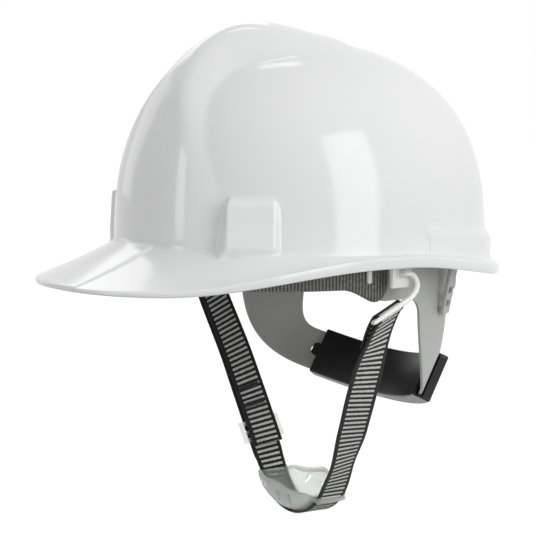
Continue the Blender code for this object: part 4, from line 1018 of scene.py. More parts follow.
@dataclass
class Suspension:
    """Headband with its nape straps, sweatband and studs, keys with their pegs, and the crown straps."""

    shell: Shell
    gaps: tuple = (0.0164, 0.0094, 0.0180)
    thickness: float = 0.0016
    top: float = 0.026
    bottom: float = -0.002
    ear_drop: float = 0.010
    ear_turns: tuple = (76.0, 92.0, 140.0, 154.0)
    strap_turns: dict = field(default_factory=lambda: {Side.LEFT: (108.0, 128.0), Side.RIGHT: (96.0, 121.0)})
    strap_pull: tuple = (0.42, 0.45)
    strap_fillets: tuple = (0.0090, 0.0060)
    sleeve_lean: float = radians(29.0)
    sleeve_radius: float = 0.105
    sleeve_half_angle: float = radians(33.0)
    sleeve_end: tuple = (0.0548, -0.0622)
    sleeve_height: float = 0.030
    sleeve_wall: float = 0.0016
    strap_engagement: float = radians(9.0)
    sleeve_travel: float = radians(4.5)
    hole_radius: float = 0.0022
    hole_pitch: float = 0.0080
    hole_outside: float = 0.0042
    hole_reach: float = 0.003
    seam: float = 2e-6
    band_edge: float = 0.0004
    sweat_end: float = 93.0
    sweat_cut: float = 85.5
    sweat_rise: float = 0.0135
    sweat_pad: float = 0.0030
    sweat_skin: float = 0.0010
    sweat_fold: float = 0.0020
    sweat_outer_top: float = 0.009
    sweat_fade: float = 3.0
    flap_shares: tuple = (0.3, 0.55, 0.8, 1.0)
    pad_shares: tuple = (0.04, 0.15, 0.4, 0.65, 0.85, 0.95)
    flute_pitch: float = 0.0020
    flute_depth: float = 0.0003
    stud_turn: float = 85.0
    stud_radius: float = 0.0018
    stud_reach: float = 0.0022
    stud_half: float = 0.0042
    peg_radius: float = 0.0020
    peg_head_radius: float = 0.0036
    peg_head: float = 0.0014
    foot_drop: float = 0.005
    hanger_rise: float = 0.013
    key_edge: float = 0.0005
    key_rib: tuple = (0.0006, 0.0007)
    key_rib_shares: tuple = (-0.3, 0.3)
    rack_size: tuple = (0.0082, 0.0024)
    rack_ends: tuple = ((-0.0076, -0.0060), (-0.0136, -0.0349))
    rack_windows: tuple = (0.45, 0.57, 0.725, 0.845)
    strap_width: float = 0.015
    strap_thickness: float = 0.0012
    strap_gap: float = 0.033
    strap_fall: float = 2.6
    strap_round: float = 0.45
    strap_twist: float = 0.3

    def __post_init__(self) -> None:
        """Take the headband's plan from the shell."""
        shell, (side, front, rear) = self.shell, self.gaps
        self.plan = Oval(shell.half_width - side, shell.front_length - front, shell.rear_length - rear)

    def band_point(self, turn: float, height: float, offset: float = 0.0) -> Vector:
        """A point at offset outside the headband's outer face."""
        return self.plan.point(turn, height) + self.plan.normal(turn) * offset

    def band_bottom(self, turn: float) -> float:
        """Lower edge of the headband, lowest above the ear."""
        ear = smooth(abs(turn), *self.ear_turns[:2]) * (1 - smooth(abs(turn), *self.ear_turns[2:]))
        return self.bottom - self.ear_drop * ear

    def sleeve_frame(self) -> Matrix:
        """Arc frame of the nape sleeve: Z is the arc's axis, Y points to its rear."""
        lean = self.sleeve_lean
        back = Vector((0, cos(lean), -sin(lean)))
        end = Vector((0, *self.sleeve_end))
        origin = end - back * self.sleeve_radius * cos(self.sleeve_half_angle)
        return frame_of(origin, ACROSS, back, Vector((0, sin(lean), cos(lean))))

    def sleeve_point(self, angle: float, radius: float, height: float) -> Vector:
        """A point of the sleeve's arc; angle 0 is the rear, positive towards the left."""
        return self.sleeve_frame() @ Vector((radius * sin(angle), radius * cos(angle), height))

    def strap_rows(self, turns: list[float]) -> list[list[Vector]]:
        """Rows of one nape strap below the headband's edge, down into the sleeve."""
        half = self.sleeve_height / 2 - self.sleeve_wall - self.shell.clearance
        count = len(turns) - 1
        radius = self.sleeve_radius + self.thickness / 2

        def across(angle: float) -> list[Vector]:
            """The strap's points at an angle of the sleeve's arc."""
            return [self.sleeve_point(angle, radius, -half + 2 * half * i / count) for i in range(count + 1)]

        mouth_angle = self.sleeve_half_angle + self.sleeve_travel
        mouth = across(mouth_angle)
        heading = (across(mouth_angle - radians(0.5))[0] - mouth[0]).normalized()
        top = [self.band_point(turn, self.band_bottom(turn)) for turn in turns]
        rows = []
        for share in spread(0.0, 1.0, 44)[1:-1]:
            row = []
            for start, end in zip(top, mouth):
                pull = (end - start).length
                first = start - UP * pull * self.strap_pull[0]
                row.append(cubic(start, first, end - heading * pull * self.strap_pull[1], end, share))
            rows.append(row)
        inside = spread(mouth_angle, self.sleeve_half_angle - self.strap_engagement, 8)
        return rows + [across(angle) for angle in inside]

    def build_headband(self, finish: Material) -> None:
        """Build the ring and its two straps, with filleted corners, rounded edges and size holes."""
        form = Form()
        for side in Side:
            start, end = self.strap_turns[side]
            ahead, behind = (degrees(f / self.plan.rear) for f in self.strap_fillets)
            core = spread(start, end, 10)
            fore, aft = spread(start - ahead, start, 6)[:-1], spread(end, end + behind, 6)[1:]
            front, rear = spread(0.0, fore[0], 46)[:-1], spread(aft[-1], 180.0, 18)[1:]
            turns = front + fore + core + aft + rear
            rows = []
            for share in spread(1.0, 0.0, 6):
                heights = [self.band_bottom(t) + (self.top - self.band_bottom(t)) * share for t in turns]
                rows.append([flip(side, self.band_point(t, h)) for t, h in zip(turns, heights)])
                rows[-1][0].x = rows[-1][-1].x = 0.0
            form.sheet(rows)
            strap = [rows[-1][len(front):len(turns) - len(rear)]]
            dropped = [0.0, 0.0]
            last = [self.band_point(t, self.band_bottom(t)) for t in (start, end)]
            for row in self.strap_rows(core):
                whole = list(row)
                for k, (tip, beside) in enumerate(((row[0], row[1]), (row[-1], row[-2]))):
                    dropped[k] += (tip - last[k]).length
                    last[k] = tip
                    radius = self.strap_fillets[k]
                    left = max(radius - dropped[k], 0.0)
                    grow = (tip - beside).normalized() * (radius - sqrt(radius**2 - left**2))
                    extra = [tip + grow * i / 6 for i in range(1, 7)]
                    whole = extra[::-1] + whole if k == 0 else whole + extra
                strap.append([flip(side, p) for p in whole])
            form.sheet(strap)
        bmesh.ops.remove_doubles(form.shape, verts=form.shape.verts, dist=self.seam)
        bmesh.ops.recalc_face_normals(form.shape, faces=form.shape.faces)
        band = form.piece("headband_strip")
        facing = band.data.polygons[0]
        outside = facing.normal.dot(facing.center) > 0
        holes = Form()
        for side in Side:
            for count in range(3):
                out = self.hole_outside - self.hole_pitch * count
                angle = side.value * (self.sleeve_half_angle + out / self.sleeve_radius)
                radii = [self.sleeve_radius + d for d in (-self.hole_reach, self.hole_reach)]
                ends = [self.sleeve_point(angle, radius, 0) for radius in radii]
                holes.tube(ends, [self.hole_radius] * 2, 24)
        changes = [
            ("SOLIDIFY", {"thickness": self.thickness, "offset": -1.0 if outside else 1.0}),
            cut_by(holes.piece("size_holes")),
            ("BEVEL", {"width": self.band_edge, "segments": 2, "angle_limit": radians(50)}),
        ]
        reshape(band, changes, 40.0)
        fit_on(band, finish, Body.HAT, Slot.BAND, "headband")

    def sweat_outline(self, turn: float, length: float) -> list[tuple[float, float]]:
        """Section of the sweatband, from its outer flap round the headband's lower edge to its pad.

        Args:
            turn: the section's turn.
            length: its place along the band, which sets the flute's height.

        Returns:
            Points as (offset from the headband's outer face, height).
        """
        gap, top, rise, fold = self.shell.clearance, self.top, self.sweat_outer_top, self.sweat_fold
        lift = clamp((abs(turn) - self.sweat_cut) / (self.sweat_end - self.sweat_cut))
        low = self.band_bottom(turn) - gap + self.sweat_rise * (1 - sqrt(1 - lift**2))
        ends = min(turn + self.sweat_end, self.sweat_end - turn)
        fade = sqrt(max(1 - (1 - min(ends / self.sweat_fade, 1.0)) ** 2, 0.02))
        flute = self.flute_depth * (0.5 + 0.5 * cos(2 * pi * length / self.flute_pitch)) * fade
        skin = self.sweat_skin * (0.55 + 0.45 * fade)
        inside = -self.thickness - gap
        pad = self.sweat_pad * fade
        outline = [(gap, rise), (gap + skin * 0.7, rise + 0.0004)]
        outline.append((gap + skin + flute * 0.5, rise - 0.0012))
        outline += [(gap + skin + flute, rise + (low - rise) * s) for s in self.flap_shares]
        outline += [(gap + skin * 0.8, low - fold * 0.75), (gap * 0.2, low - fold - flute)]
        outline += [(inside * 0.6, low - fold - flute), (inside - pad * 0.6, low - fold * 0.6)]
        outline += [(inside - pad - flute, low + (top - low) * s) for s in self.pad_shares]
        outline += [(inside - pad * 0.55, top + 0.0006), (inside, top + 0.0002)]
        return outline + [(inside, low), (gap, low)]

    def build_sweatband(self, finish: Material) -> None:
        """Build the folded pad round the headband's front, fluted across its length."""
        form = Form()
        rows, marks = [], []
        length, before = 0.0, None
        for turn in spread(-self.sweat_end, self.sweat_end, 470):
            near = self.band_point(turn, 0.0)
            length += (near - before).length if before else 0.0
            before = near
            outline = self.sweat_outline(turn, length)
            rows.append([self.band_point(turn, z, offset) for offset, z in outline])
            walked, line = 0.0, [(length, 0.0)]
            for (x, z), (after_x, after_z) in zip(outline, outline[1:]):
                walked += sqrt((after_x - x) ** 2 + (after_z - z) ** 2)
                line.append((length, walked))
            marks.append(line)
        form.loft(rows, marks)
        pad = fit_on(form.piece("sweatband_pad", 75.0), finish, Body.HAT, Slot.CLOTH, "sweatband")

    def build_studs(self, finish: Material) -> None:
        """Build the two studs that hold the sweatband's ends."""
        for side in Side:
            turn = self.stud_turn * side.value
            outward = self.plan.normal(turn)
            face = self.band_point(turn, self.sweat_outer_top / 3, self.shell.clearance * 2 + self.sweat_skin)
            r, h = self.stud_radius, self.stud_reach
            form = Form()
            place = frame_of(face, outward.cross(UP), outward, UP)
            form.box((-r * 0.9, -0.0005, -self.stud_half), (r * 0.9, h, self.stud_half), place, r * 0.75, 5)
            node = side.word + "_sweatband_stud"
            fit_on(form.piece(side.word + "_stud"), finish, Body.HAT, Slot.NYLON, node)

    def hanger_reach(self, end: End) -> float:
        """Distance from the dome's root in to the headband's outer face, square to the dome."""
        turn = self.shell.key_turns[end.value]
        base, out = self.shell.dome_point(turn, 90), self.shell.plan.normal(turn)
        wide, length = self.plan.half_width, self.plan.front if base.y < 0 else self.plan.rear
        a = (out.x / wide) ** 2 + (out.y / length) ** 2
        b = -2 * (base.x * out.x / wide**2 + base.y * out.y / length**2)
        c = (base.x / wide) ** 2 + (base.y / length) ** 2 - 1
        return (-b - sqrt(b * b - 4 * a * c)) / (2 * a)

    def key_foot(self) -> float:
        """Height of a key's foot under the dome's root."""
        return -self.shell.wall - self.foot_drop

    def build_key(self, side: Side, end: End, finish: Material) -> None:
        """Build one bent key, ribbed on its hanger, and the headed peg through it."""
        width, thick, rise = self.shell.key_size
        gap, inset = self.shell.clearance, self.shell.key_insets[end.value]
        reach = -self.hanger_reach(end)
        near = reach + gap
        face = near + thick
        foot = self.key_foot()
        top = foot + self.hanger_rise
        place = self.shell.key_frame(side, end)
        outline = [(-inset, rise), (-inset, foot), (near, foot), (near, top), (face, top)]
        outline += [(face, foot + thick), (-inset - thick, foot + thick), (-inset - thick, rise)]
        form = Form()
        form.loft([[place @ Vector((x, y, z)) for y, z in outline] for x in (-width / 2, width / 2)])
        form.round_over(self.key_edge, 50.0, 3)
        half, proud = self.key_rib
        for share in self.key_rib_shares:
            low = (share * width - half, face - 0.0004, foot + thick * 0.8)
            high = (share * width + half, face + proud, foot + self.hanger_rise * 0.75)
            form.box(low, high, place, 0.0003, 2)
        name = f"{end.word}_{side.word}"
        fit_on(form.piece(name + "_hanger", 35.0), finish, Body.HAT, Slot.NYLON, name + "_key")
        back, seat = reach - self.thickness, face + gap
        r, head, tall = self.peg_radius, self.peg_head_radius, self.peg_head
        profile = [(0, back - 0.0002), (r * 0.8, back - 0.0002), (r, back), (r, seat)]
        profile += [(head * 0.95, seat), (head, seat + tall * 0.3), (head * 0.92, seat + tall * 0.7)]
        profile += [(head * 0.6, seat + tall), (0, seat + tall)]
        form = Form()
        form.turned(profile, place @ Matrix.Translation((0, 0, top - head)), 32)
        fit_on(form.piece(name + "_rivet", 50.0), finish, Body.HAT, Slot.NYLON, name + "_peg")

    def build_rack(self, side: Side, finish: Material) -> None:
        """Build the strip with two windows that hangs from a rear key, outside the nape strap."""
        place = self.shell.key_frame(side, End.REAR)
        top, foot = (place @ Vector((0, *end)) for end in self.rack_ends)
        across, along = place.col[0].xyz, (top - foot).normalized()
        width, thick = self.rack_size
        xs = [width * share for share in (-0.5, -0.25, 0.25, 0.5)]
        zs = [-(top - foot).length * share for share in (0.0, *self.rack_windows, 1.0)]
        form = Form()
        form.ladder(xs, zs, thick, frame_of(top, across, along.cross(across), along))
        form.round_over(self.key_edge, 50.0, 3)
        fit_on(form.piece(f"rear_{side.word}_rack", 35.0), finish, Body.HAT, Slot.BAND, "headband")

    def strap_seat(self, side: Side, end: End) -> tuple[Vector, Vector]:
        """Where a crown strap stands on a key's foot, and its width's direction there."""
        place = self.shell.key_frame(side, end)
        gap, thick = self.shell.clearance, self.shell.key_size[1]
        head = -self.hanger_reach(end) + 2 * gap + thick + self.peg_head
        foot = self.key_foot() + thick + gap
        seat = Vector((0, head + 4 * gap + self.strap_thickness / 2, foot))
        return place @ seat, place.col[0].xyz * side.value

    def build_crown_straps(self, finish: Material) -> None:
        """Build the two woven straps from key to key, one crossing over the other."""
        for name, side, lift in (("lower_crown", Side.LEFT, 0.0), ("upper_crown", Side.RIGHT, 1.0)):
            other = Side(-side.value)
            front, front_way = self.strap_seat(side, End.FRONT)
            rear, rear_way = self.strap_seat(other, End.REAR)
            top = self.shell.crown_height - self.strap_gap
            top += lift * (self.strap_thickness + 2 * self.shell.clearance)
            run = rear - front
            across = Vector((run.y, -run.x, 0)).normalized()
            front_way = front_way if front_way.dot(across) > 0 else -front_way
            rear_way = rear_way if rear_way.dot(across) > 0 else -rear_way
            path = []
            for angle in spread(0.0, pi, 150):
                share = (1 - cos(angle)) / 2
                bulge = (1 - abs(2 * share - 1) ** self.strap_fall) ** self.strap_round
                centre = front.lerp(rear, share)
                centre.z += (top - centre.z) * bulge
                way = front_way.lerp(across, smooth(share, 0.0, self.strap_twist))
                way = way.lerp(rear_way, smooth(share, 1 - self.strap_twist, 1.0)).normalized()
                path.append((centre, way))
            strap = Tape(self.strap_width, self.strap_thickness, 0.0).build(name + "_tape", path)
            fit_on(strap, finish, Body.HAT, Slot.CROWN, name + "_strap")

    def build(self, band: Material, cloth: Material, nylon: Material, tape: Material) -> None:
        """Build the whole suspension.

        Args:
            band: the headband's finish.
            cloth: the sweatband's finish.
            nylon: the finish of keys, pegs and studs.
            tape: the crown straps' finish.
        """
        self.build_headband(band)
        self.build_sweatband(cloth)
        self.build_studs(nylon)
        for side in Side:
            for end in End:
                self.build_key(side, end, nylon)
            self.build_rack(side, band)
        self.build_crown_straps(tape)


@dataclass
class Tape:
    """A woven tape with thick selvedges and ribs across it."""

    width: float
    thickness: float
    rib_pitch: float
    rib_height: float = 0.00009
    selvedge: float = 0.0024
    edge_round: float = 1.3
    levels: tuple = (0.94, 0.9)
    shares: tuple = (0.0, 0.4, 0.72, 0.77, 0.84, 0.93, 0.985, 1.0)

    def section(self, walked: float) -> list[tuple[float, float]]:
        """Points round the tape as (across, through), with the ribs' height at a place along it."""
        half, thick = self.width / 2, self.thickness / 2
        rib = 0.0
        if self.rib_pitch:
            rib = self.rib_height * (sin(2 * pi * walked / self.rib_pitch) - 1)
        upper = []
        for share in (*(-s for s in self.shares[:0:-1]), *self.shares):
            off = half * (1 - abs(share))
            round_off = min(off / (thick * self.edge_round), 1.0)
            level = thick * sqrt(max(1 - (1 - round_off) ** 2, 0.0))
            level *= self.levels[0] if off < self.selvedge else self.levels[1]
            upper.append((half * share, level + (rib if off > self.selvedge else 0.0)))
        return upper + [(x, -y) for x, y in reversed(upper[1:-1])]

    def build(self, name: str, path: Line) -> Object:
        """Sweep the tape along a path.

        Args:
            name: the piece's name.
            path: centre points with the direction of the tape's width.

        Returns:
            The piece, with its map along and across it.
        """
        form = Form()
        rows, marks = [], []
        walked = 0.0
        for i, (centre, way) in enumerate(path):
            before, after = path[max(i - 1, 0)][0], path[min(i + 1, len(path) - 1)][0]
            if i:
                walked += (centre - path[i - 1][0]).length
            along = (after - before).normalized()
            through = along.cross(way).normalized()
            section = self.section(walked)
            rows.append([centre + way * x + through * y for x, y in section])
            marks.append([(walked, x) for x, _ in section])
        form.loft(rows, marks)
        return form.piece(name, 60.0)


@dataclass
class NapeSleeve:
    """A flat curved tube that the two nape straps slide in, with a tongue at each mouth."""

    suspension: Suspension
    depth: float = 0.0076
    edge: float = 0.0011
    back_wall: float = 0.0036
    tooth_reach: float = 0.0042
    tooth_width: float = 0.0085
    tooth_shares: tuple = (-0.4, 0.0, 0.5, 0.85, 1.0)
    tooth_tapers: tuple = (0.28, 0.35)
    tooth_sink: float = 0.0001
    mouth_round: float = 0.0005
    mouth_flare: float = 0.6

    def ring(self, angle: float, shrink: float, bore: bool) -> list[Vector]:
        """A rounded loop of the tube's outside or bore at an angle of its arc."""
        fit = self.suspension
        wall = fit.sleeve_wall if bore else 0.0
        half = fit.sleeve_height / 2 - wall - shrink
        deep = self.depth / 2 - wall - shrink
        edge = min(self.edge, deep * 0.8)
        points = []
        for a, b in ((1, 1), (1, -1), (-1, -1), (-1, 1)):
            tip = Vector((deep * a, half * b, 0))
            along, down = Vector((-edge * a, 0, 0)), Vector((0, -edge * b, 0))
            arc = corner(tip + along, tip, tip + down, 4)
            points += arc if a == b else arc[::-1]
        back = 0.0 if bore else self.back_wall
        radii = [fit.sleeve_radius + p.x + (back if p.x > 0 else 0.0) for p in points]
        return [fit.sleeve_point(angle, radius, p.y) for radius, p in zip(radii, points)]

    def build(self, finish: Material) -> None:
        """Build the tube with rounded mouths and its two tongues."""
        fit = self.suspension
        end, soft = fit.sleeve_half_angle, self.mouth_round
        full, flare = end - soft / fit.sleeve_radius, -soft * self.mouth_flare
        angles = spread(-full, full, 48)
        rows = [self.ring(-end, soft, False), *(self.ring(a, 0.0, False) for a in angles)]
        rows += [self.ring(end, soft, False), self.ring(end, flare, True)]
        rows += [self.ring(a, 0.0, True) for a in angles[::-1]]
        rows += [self.ring(-end, flare, True), rows[0]]
        form = Form()
        form.sheet(rows, True)
        low, sink = fit.sleeve_radius - self.depth / 2, self.tooth_sink
        for side in Side:
            sections = []
            for share in self.tooth_shares:
                angle = side.value * (end + share * self.tooth_reach / fit.sleeve_radius)
                half = self.tooth_width / 2 * (1 - self.tooth_tapers[0] * max(share, 0.0) ** 3)
                thick = fit.sleeve_wall * (1 - self.tooth_tapers[1] * max(share, 0.0) ** 2) - sink
                loop = ((sink, -half), (thick, -half), (thick, half), (sink, half))
                sections.append([fit.sleeve_point(angle, low + r, h) for r, h in loop])
            form.loft(sections)
        fit_on(form.piece("nape_sleeve_tube", 38.0), finish, Body.SLEEVE, Slot.SLEEVE, "nape_sleeve")


@dataclass
class ChinStrap:
    """Lugs and hooks at the rim, and one striped tape from hook to hook, sewn and buckled."""

    shell: Shell
    hook_radius: float = 0.0016
    hook_inset: float = 0.0017
    hook_head: float = 0.0025
    hook_chamfer: float = 0.0003
    hook_bend: float = 1.6
    hook_swell: float = 0.04
    bar_taper: float = 0.28
    bar_share: float = 0.86
    hook_pull: tuple = ((0.0163, 0.0045), (0.0170, -0.0045))
    bar_rear: tuple = (0.0053, -0.0115)
    bar_front: tuple = (-0.0154, -0.0216)
    pivot: float = 0.005
    lug_bottom: float = -0.0035
    lug_edge: float = 0.0007
    eye_rim: tuple = ((0.0004, 0.0001), (0.0012, 0.0004), (0.0016, 0.0), (0.0016, -0.0006))
    width: float = 0.0195
    thickness: float = 0.0014
    cup_y: float = 0.0035
    cup_axis: float = -0.111
    arc_radius: float = 0.038
    lean: float = radians(31.0)
    bow: float = 0.0035
    sway: float = 0.0050
    near_twist: tuple = (
        (0.0, 26.0), (0.1, 22.0), (0.32, -14.0), (0.45, -20.0), (0.62, -14.0), (0.84, 16.0), (1.0, 0.0)
    )
    far_twist: tuple = ((0.0, 0.0), (0.04, 7.0), (0.1, 27.0), (0.35, 29.0), (0.8, 26.0), (1.0, 26.0))
    sewn: float = 0.022
    buckle_along: float = 0.026
    buckle_length: float = 0.014
    buckle_bar: float = 0.0016
    buckle_rail: float = 0.0028
    tail: float = 0.0035
    tail_settle: float = 0.060
    rib_pitch: float = 0.0033
    row_step: float = 0.00055
    tacks: tuple = (0.0425, 0.0535)
    sewn_tacks: tuple = (0.35, 0.75)
    tack_levels: tuple = (0.45, 1.45)
    tack_margin: float = 0.0028
    tack_lean: float = 0.0005
    tack_half: float = 0.0017
    tack_rise: float = 0.00022
    tack_sink: float = 0.0001
    thread_radius: float = 0.00024
    guard: float = 0.0050
    guard_reach: float = 0.0030
    guard_lift: float = 0.0020

    def __post_init__(self) -> None:
        """Take the hooks' place from the shell."""
        self.hook_x = self.shell.half_width - self.hook_inset

    def build_lug(self, side: Side, finish: Material) -> None:
        """Build the tab in the side socket, with its eye's rim."""
        width, thick, rise = self.shell.lug_size
        place = self.shell.lug_frame(side)
        inset = self.shell.lug_inset
        form = Form()
        low = (-width / 2, -inset - thick, self.lug_bottom - place.translation.z)
        form.box(low, (width / 2, -inset, rise), place, self.lug_edge, 4)
        eye = Vector((0, 0, self.pivot - place.translation.z))
        for sign in (-1, 1):
            shelf = (sign * width * 0.5 - sign * 0.0016, -inset - 0.0002, low[2] + 0.0012)
            top = (sign * width * 0.5 - sign * 0.0004, -inset + 0.0006, rise * 0.2)
            form.box(tuple(map(min, zip(shelf, top))), tuple(map(max, zip(shelf, top))), place, 0.0003, 2)
        rim = [(self.hook_radius + out, level) for out, level in self.eye_rim]
        profile = [(0, rim[0][1]), *rim, (0, rim[-1][1])]
        form.turned(profile, place @ Matrix.Translation(eye + Vector((0, -inset, 0))), 28)
        fit_on(form.piece(side.word + "_lug", 40.0), finish, Body.HAT, Slot.NYLON, side.word + "_strap_lug")

    def build_hook(self, side: Side, finish: Material) -> None:
        """Build the headed pin, the J bend, the bar in front of the tape and the bar that carries it."""
        shell, r, x = self.shell, self.hook_radius, self.hook_x
        outer = shell.lug_frame(Side.LEFT).translation.x
        face = outer - shell.lug_inset - shell.lug_size[1] - shell.clearance
        level = Vector((0, shell.lug_y, self.pivot))
        path = [(ACROSS * at + level, self.hook_head) for at in (face - r, face - self.hook_chamfer)]
        path.append((ACROSS * face + level, r))
        turned = Vector((x, shell.lug_y + r * self.hook_bend, self.pivot))
        turn = corner(ACROSS * (x - r * self.hook_bend) + level, ACROSS * x + level, turned, 5)
        thick = 1 + self.hook_swell
        path += [(p, r * thick) for p in turn]
        pulls = [Vector((x, *pull)) for pull in self.hook_pull]
        rear, front = Vector((x, *self.bar_rear)), Vector((x, *self.bar_front))
        bend = [(cubic(turn[-1], *pulls, rear, s), s) for s in spread(0.0, 1.0, 26)[1:]]
        tip = front + (front - rear).normalized() * self.guard_reach
        guard = ACROSS * self.guard + UP * self.guard_lift
        path += [(p + guard * smooth(s, 0.25, 1.0), r * (thick - self.hook_swell * s)) for p, s in bend]
        bar = (rear + guard, tip + guard)
        path += [(bar[0].lerp(bar[1], s), r * (1 - self.bar_taper * s**3)) for s in spread(0.0, 1.0, 14)[1:]]
        form = Form()
        form.tube([flip(side, p) for p, _ in path], [radius for _, radius in path], 28)
        inner = [p for p, s in bend if s > 0.55] + [rear.lerp(front, s) for s in spread(0.0, 1.0, 8)[1:]]
        inner += [front + guard * s + (tip - front) * s * 0.3 for s in spread(0.1, 1.0, 4)]
        form.tube([flip(side, p) for p in inner], [r * self.bar_share] * len(inner), 20)
        hook = form.piece(side.word + "_hook", 60.0)
        fit_on(hook, finish, Body.STRAP, Slot.NYLON, side.word + "_strap_hook")

    def bar_way(self) -> Vector:
        """Direction of the hooks' bars, forward and down."""
        y, z = (a - b for a, b in zip(self.bar_front, self.bar_rear))
        return Vector((0, y, z)).normalized()

    def loop_over(self, side: Side, angle: float) -> Vector:
        """A point of the tape's loop round a hook's bar, from angle 0 at +X."""
        rise = ACROSS.cross(self.bar_way())
        rise = -rise if rise.z < 0 else rise
        y, z = ((a + b) / 2 for a, b in zip(self.bar_front, self.bar_rear))
        middle = Vector((side.value * self.hook_x, y, z))
        radius = self.hook_radius + self.shell.clearance + self.thickness / 2
        return middle + (ACROSS * cos(angle) + rise * sin(angle)) * radius

    def arc_point(self, angle: float, radius: float, y: float | None = None) -> Vector:
        """A point of the tape's bottom arc; angle 0 is lowest, positive towards the left."""
        y = self.cup_y if y is None else y
        return Vector((radius * sin(angle), y, self.cup_axis - radius * cos(angle)))

    def leg_start(self, side: Side) -> Vector:
        """Where a leg leaves its bar: the left leg outside it, the right leg inside it."""
        return self.loop_over(side, -side.value * self.lean)

    def tangent_angle(self, side: Side) -> float:
        """Angle at which a leg meets the bottom arc."""
        start = self.leg_start(side)
        x, z = start.x, start.z - self.cup_axis
        return atan2(abs(x), -z) - acos(self.arc_radius / sqrt(x * x + z * z))

    def leg_end(self, side: Side) -> Vector:
        """Where a leg meets the bottom arc."""
        return self.arc_point(side.value * self.tangent_angle(side), self.arc_radius)

    def leg_square(self, side: Side) -> Vector:
        """Direction square to a leg: inward for the left leg and outward for the right one."""
        run = (self.leg_end(side) - self.leg_start(side)).normalized()
        return Vector((run.z, 0, -run.x))

    def layer_gap(self) -> float:
        """Distance between the middles of the tape's two layers at the buckle."""
        return self.thickness + self.buckle_bar + 2 * self.shell.clearance

    def way(self, angle: float) -> Vector:
        """Direction of the tape's width, forward, and down by an angle in degrees."""
        return Vector((0, -cos(radians(angle)), -sin(radians(angle))))

    def path(self) -> Line:
        """Centre line of the whole tape with its width directions, from the sewn end to the tail."""
        left, right = Side.LEFT, Side.RIGHT
        start, far = self.leg_start(left), self.leg_start(right)
        run, far_run = self.leg_end(left) - start, far - self.leg_end(right)
        under = self.loop_over(right, pi + self.lean) - far
        line = []
        gap = self.thickness + self.shell.clearance
        sewn_end = start + run.normalized() * self.sewn + self.leg_square(left) * gap
        sewn_top = self.loop_over(left, pi - self.lean)
        for share in spread(0.0, 1.0, 30)[:-1]:
            place = (1 - share) * self.sewn / run.length
            point = sewn_end.lerp(sewn_top, share) + self.near_sway(place)
            line.append((point, self.near_way(place)))
        for angle in spread(pi - self.lean, -self.lean, 24):
            line.append((self.loop_over(left, angle), self.bar_way()))
        for share in spread(0.0, 1.0, 140)[1:-1]:
            bow = self.leg_square(left) * self.bow * sin(pi * share**1.5)
            line.append((start + run * share - bow + self.near_sway(share), self.near_way(share)))
        for angle in spread(self.tangent_angle(left), -self.tangent_angle(right), 100):
            line.append((self.arc_point(angle, self.arc_radius), self.way(0.0)))
        for share in spread(0.0, 1.0, 140)[1:-1]:
            point = self.leg_end(right) + far_run * share
            line.append((point.lerp(point + under, smooth(share, 0.55, 1.0)), self.far_way(share)))
        for angle in spread(pi + self.lean, self.lean, 24):
            line.append((self.loop_over(right, angle), self.bar_way()))
        down = -far_run.normalized()
        length = far_run.length - self.buckle_along + self.buckle_length / 2 + self.tail
        for along in spread(0.0, length, 150)[1:]:
            away = self.layer_gap() * smooth(along, 0.0, self.tail_settle)
            point = far + down * along - self.leg_square(right) * away
            line.append((point, self.far_way(1 - along / far_run.length)))
        return line

    def near_way(self, share: float) -> Vector:
        """Width direction of the near leg, from the bar's at its top to square to the leg."""
        run = (self.leg_end(Side.LEFT) - self.leg_start(Side.LEFT)).normalized()
        way = self.way(between(self.near_twist, share))
        return (way - run * way.dot(run) * smooth(share, 0.0, 0.35)).normalized()

    def far_way(self, share: float) -> Vector:
        """Width direction of the far leg, from its end up; it keeps some of the bar's skew."""
        run = (self.leg_end(Side.RIGHT) - self.leg_start(Side.RIGHT)).normalized()
        way = self.way(between(self.far_twist, share))
        return (way - run * way.dot(run) * smooth(1 - share, 0.0, 0.9)).normalized()

    def near_sway(self, share: float) -> Vector:
        """How far the near leg hangs forward of a straight line."""
        return Vector((0, -self.sway * sin(pi * share**0.6), 0))

    def even(self, line: Line) -> Line:
        """The same line in steps of the tape's row spacing."""
        made = [line[0]]
        left = self.row_step
        for (a, way_a), (b, way_b) in zip(line, line[1:]):
            length = (b - a).length
            place = left
            while place <= length:
                share = place / length
                made.append((a.lerp(b, share), way_a.lerp(way_b, share).normalized()))
                place += self.row_step
            left = place - length
        return made + [line[-1]]

    def build_tape(self, finish: Material, thread: Material) -> None:
        """Build the striped tape, and the rows of stitches over its folded ends."""
        tape = Tape(self.width, self.thickness, self.rib_pitch).build("chin_tape", self.even(self.path()))
        fit_on(tape, finish, Body.STRAP, Slot.TAPE, "chin_webbing")
        form = Form()
        for place in self.tacks:
            centre, across, face, along = self.far_frame(place)
            lift = self.layer_gap() + self.thickness * self.tack_levels[0]
            self.bar_tack(form, centre + face * lift, across, face, along)
        left = Side.LEFT
        start = self.leg_start(left)
        run = self.leg_end(left) - start
        inward = self.leg_square(left)
        lift = self.thickness * self.tack_levels[1] + self.shell.clearance
        for share in self.sewn_tacks:
            place = self.sewn * share / run.length
            level = start + run * place + inward * lift + self.near_sway(place)
            self.bar_tack(form, level, self.near_way(place), inward, run.normalized())
        fit_on(form.piece("chin_stitches", 60.0), thread, Body.STRAP, Slot.TAPE)

    def far_frame(self, place: float) -> tuple[Vector, Vector, Vector, Vector]:
        """Centre, width, face and length directions of the far leg at a distance up from its end."""
        right = Side.RIGHT
        run = self.leg_start(right) - self.leg_end(right)
        along = run.normalized()
        across = self.far_way(place / run.length)
        face = along.cross(across).normalized()
        face = face if face.x > 0 else -face
        return self.leg_end(right) + along * place, across, face, across.cross(face)

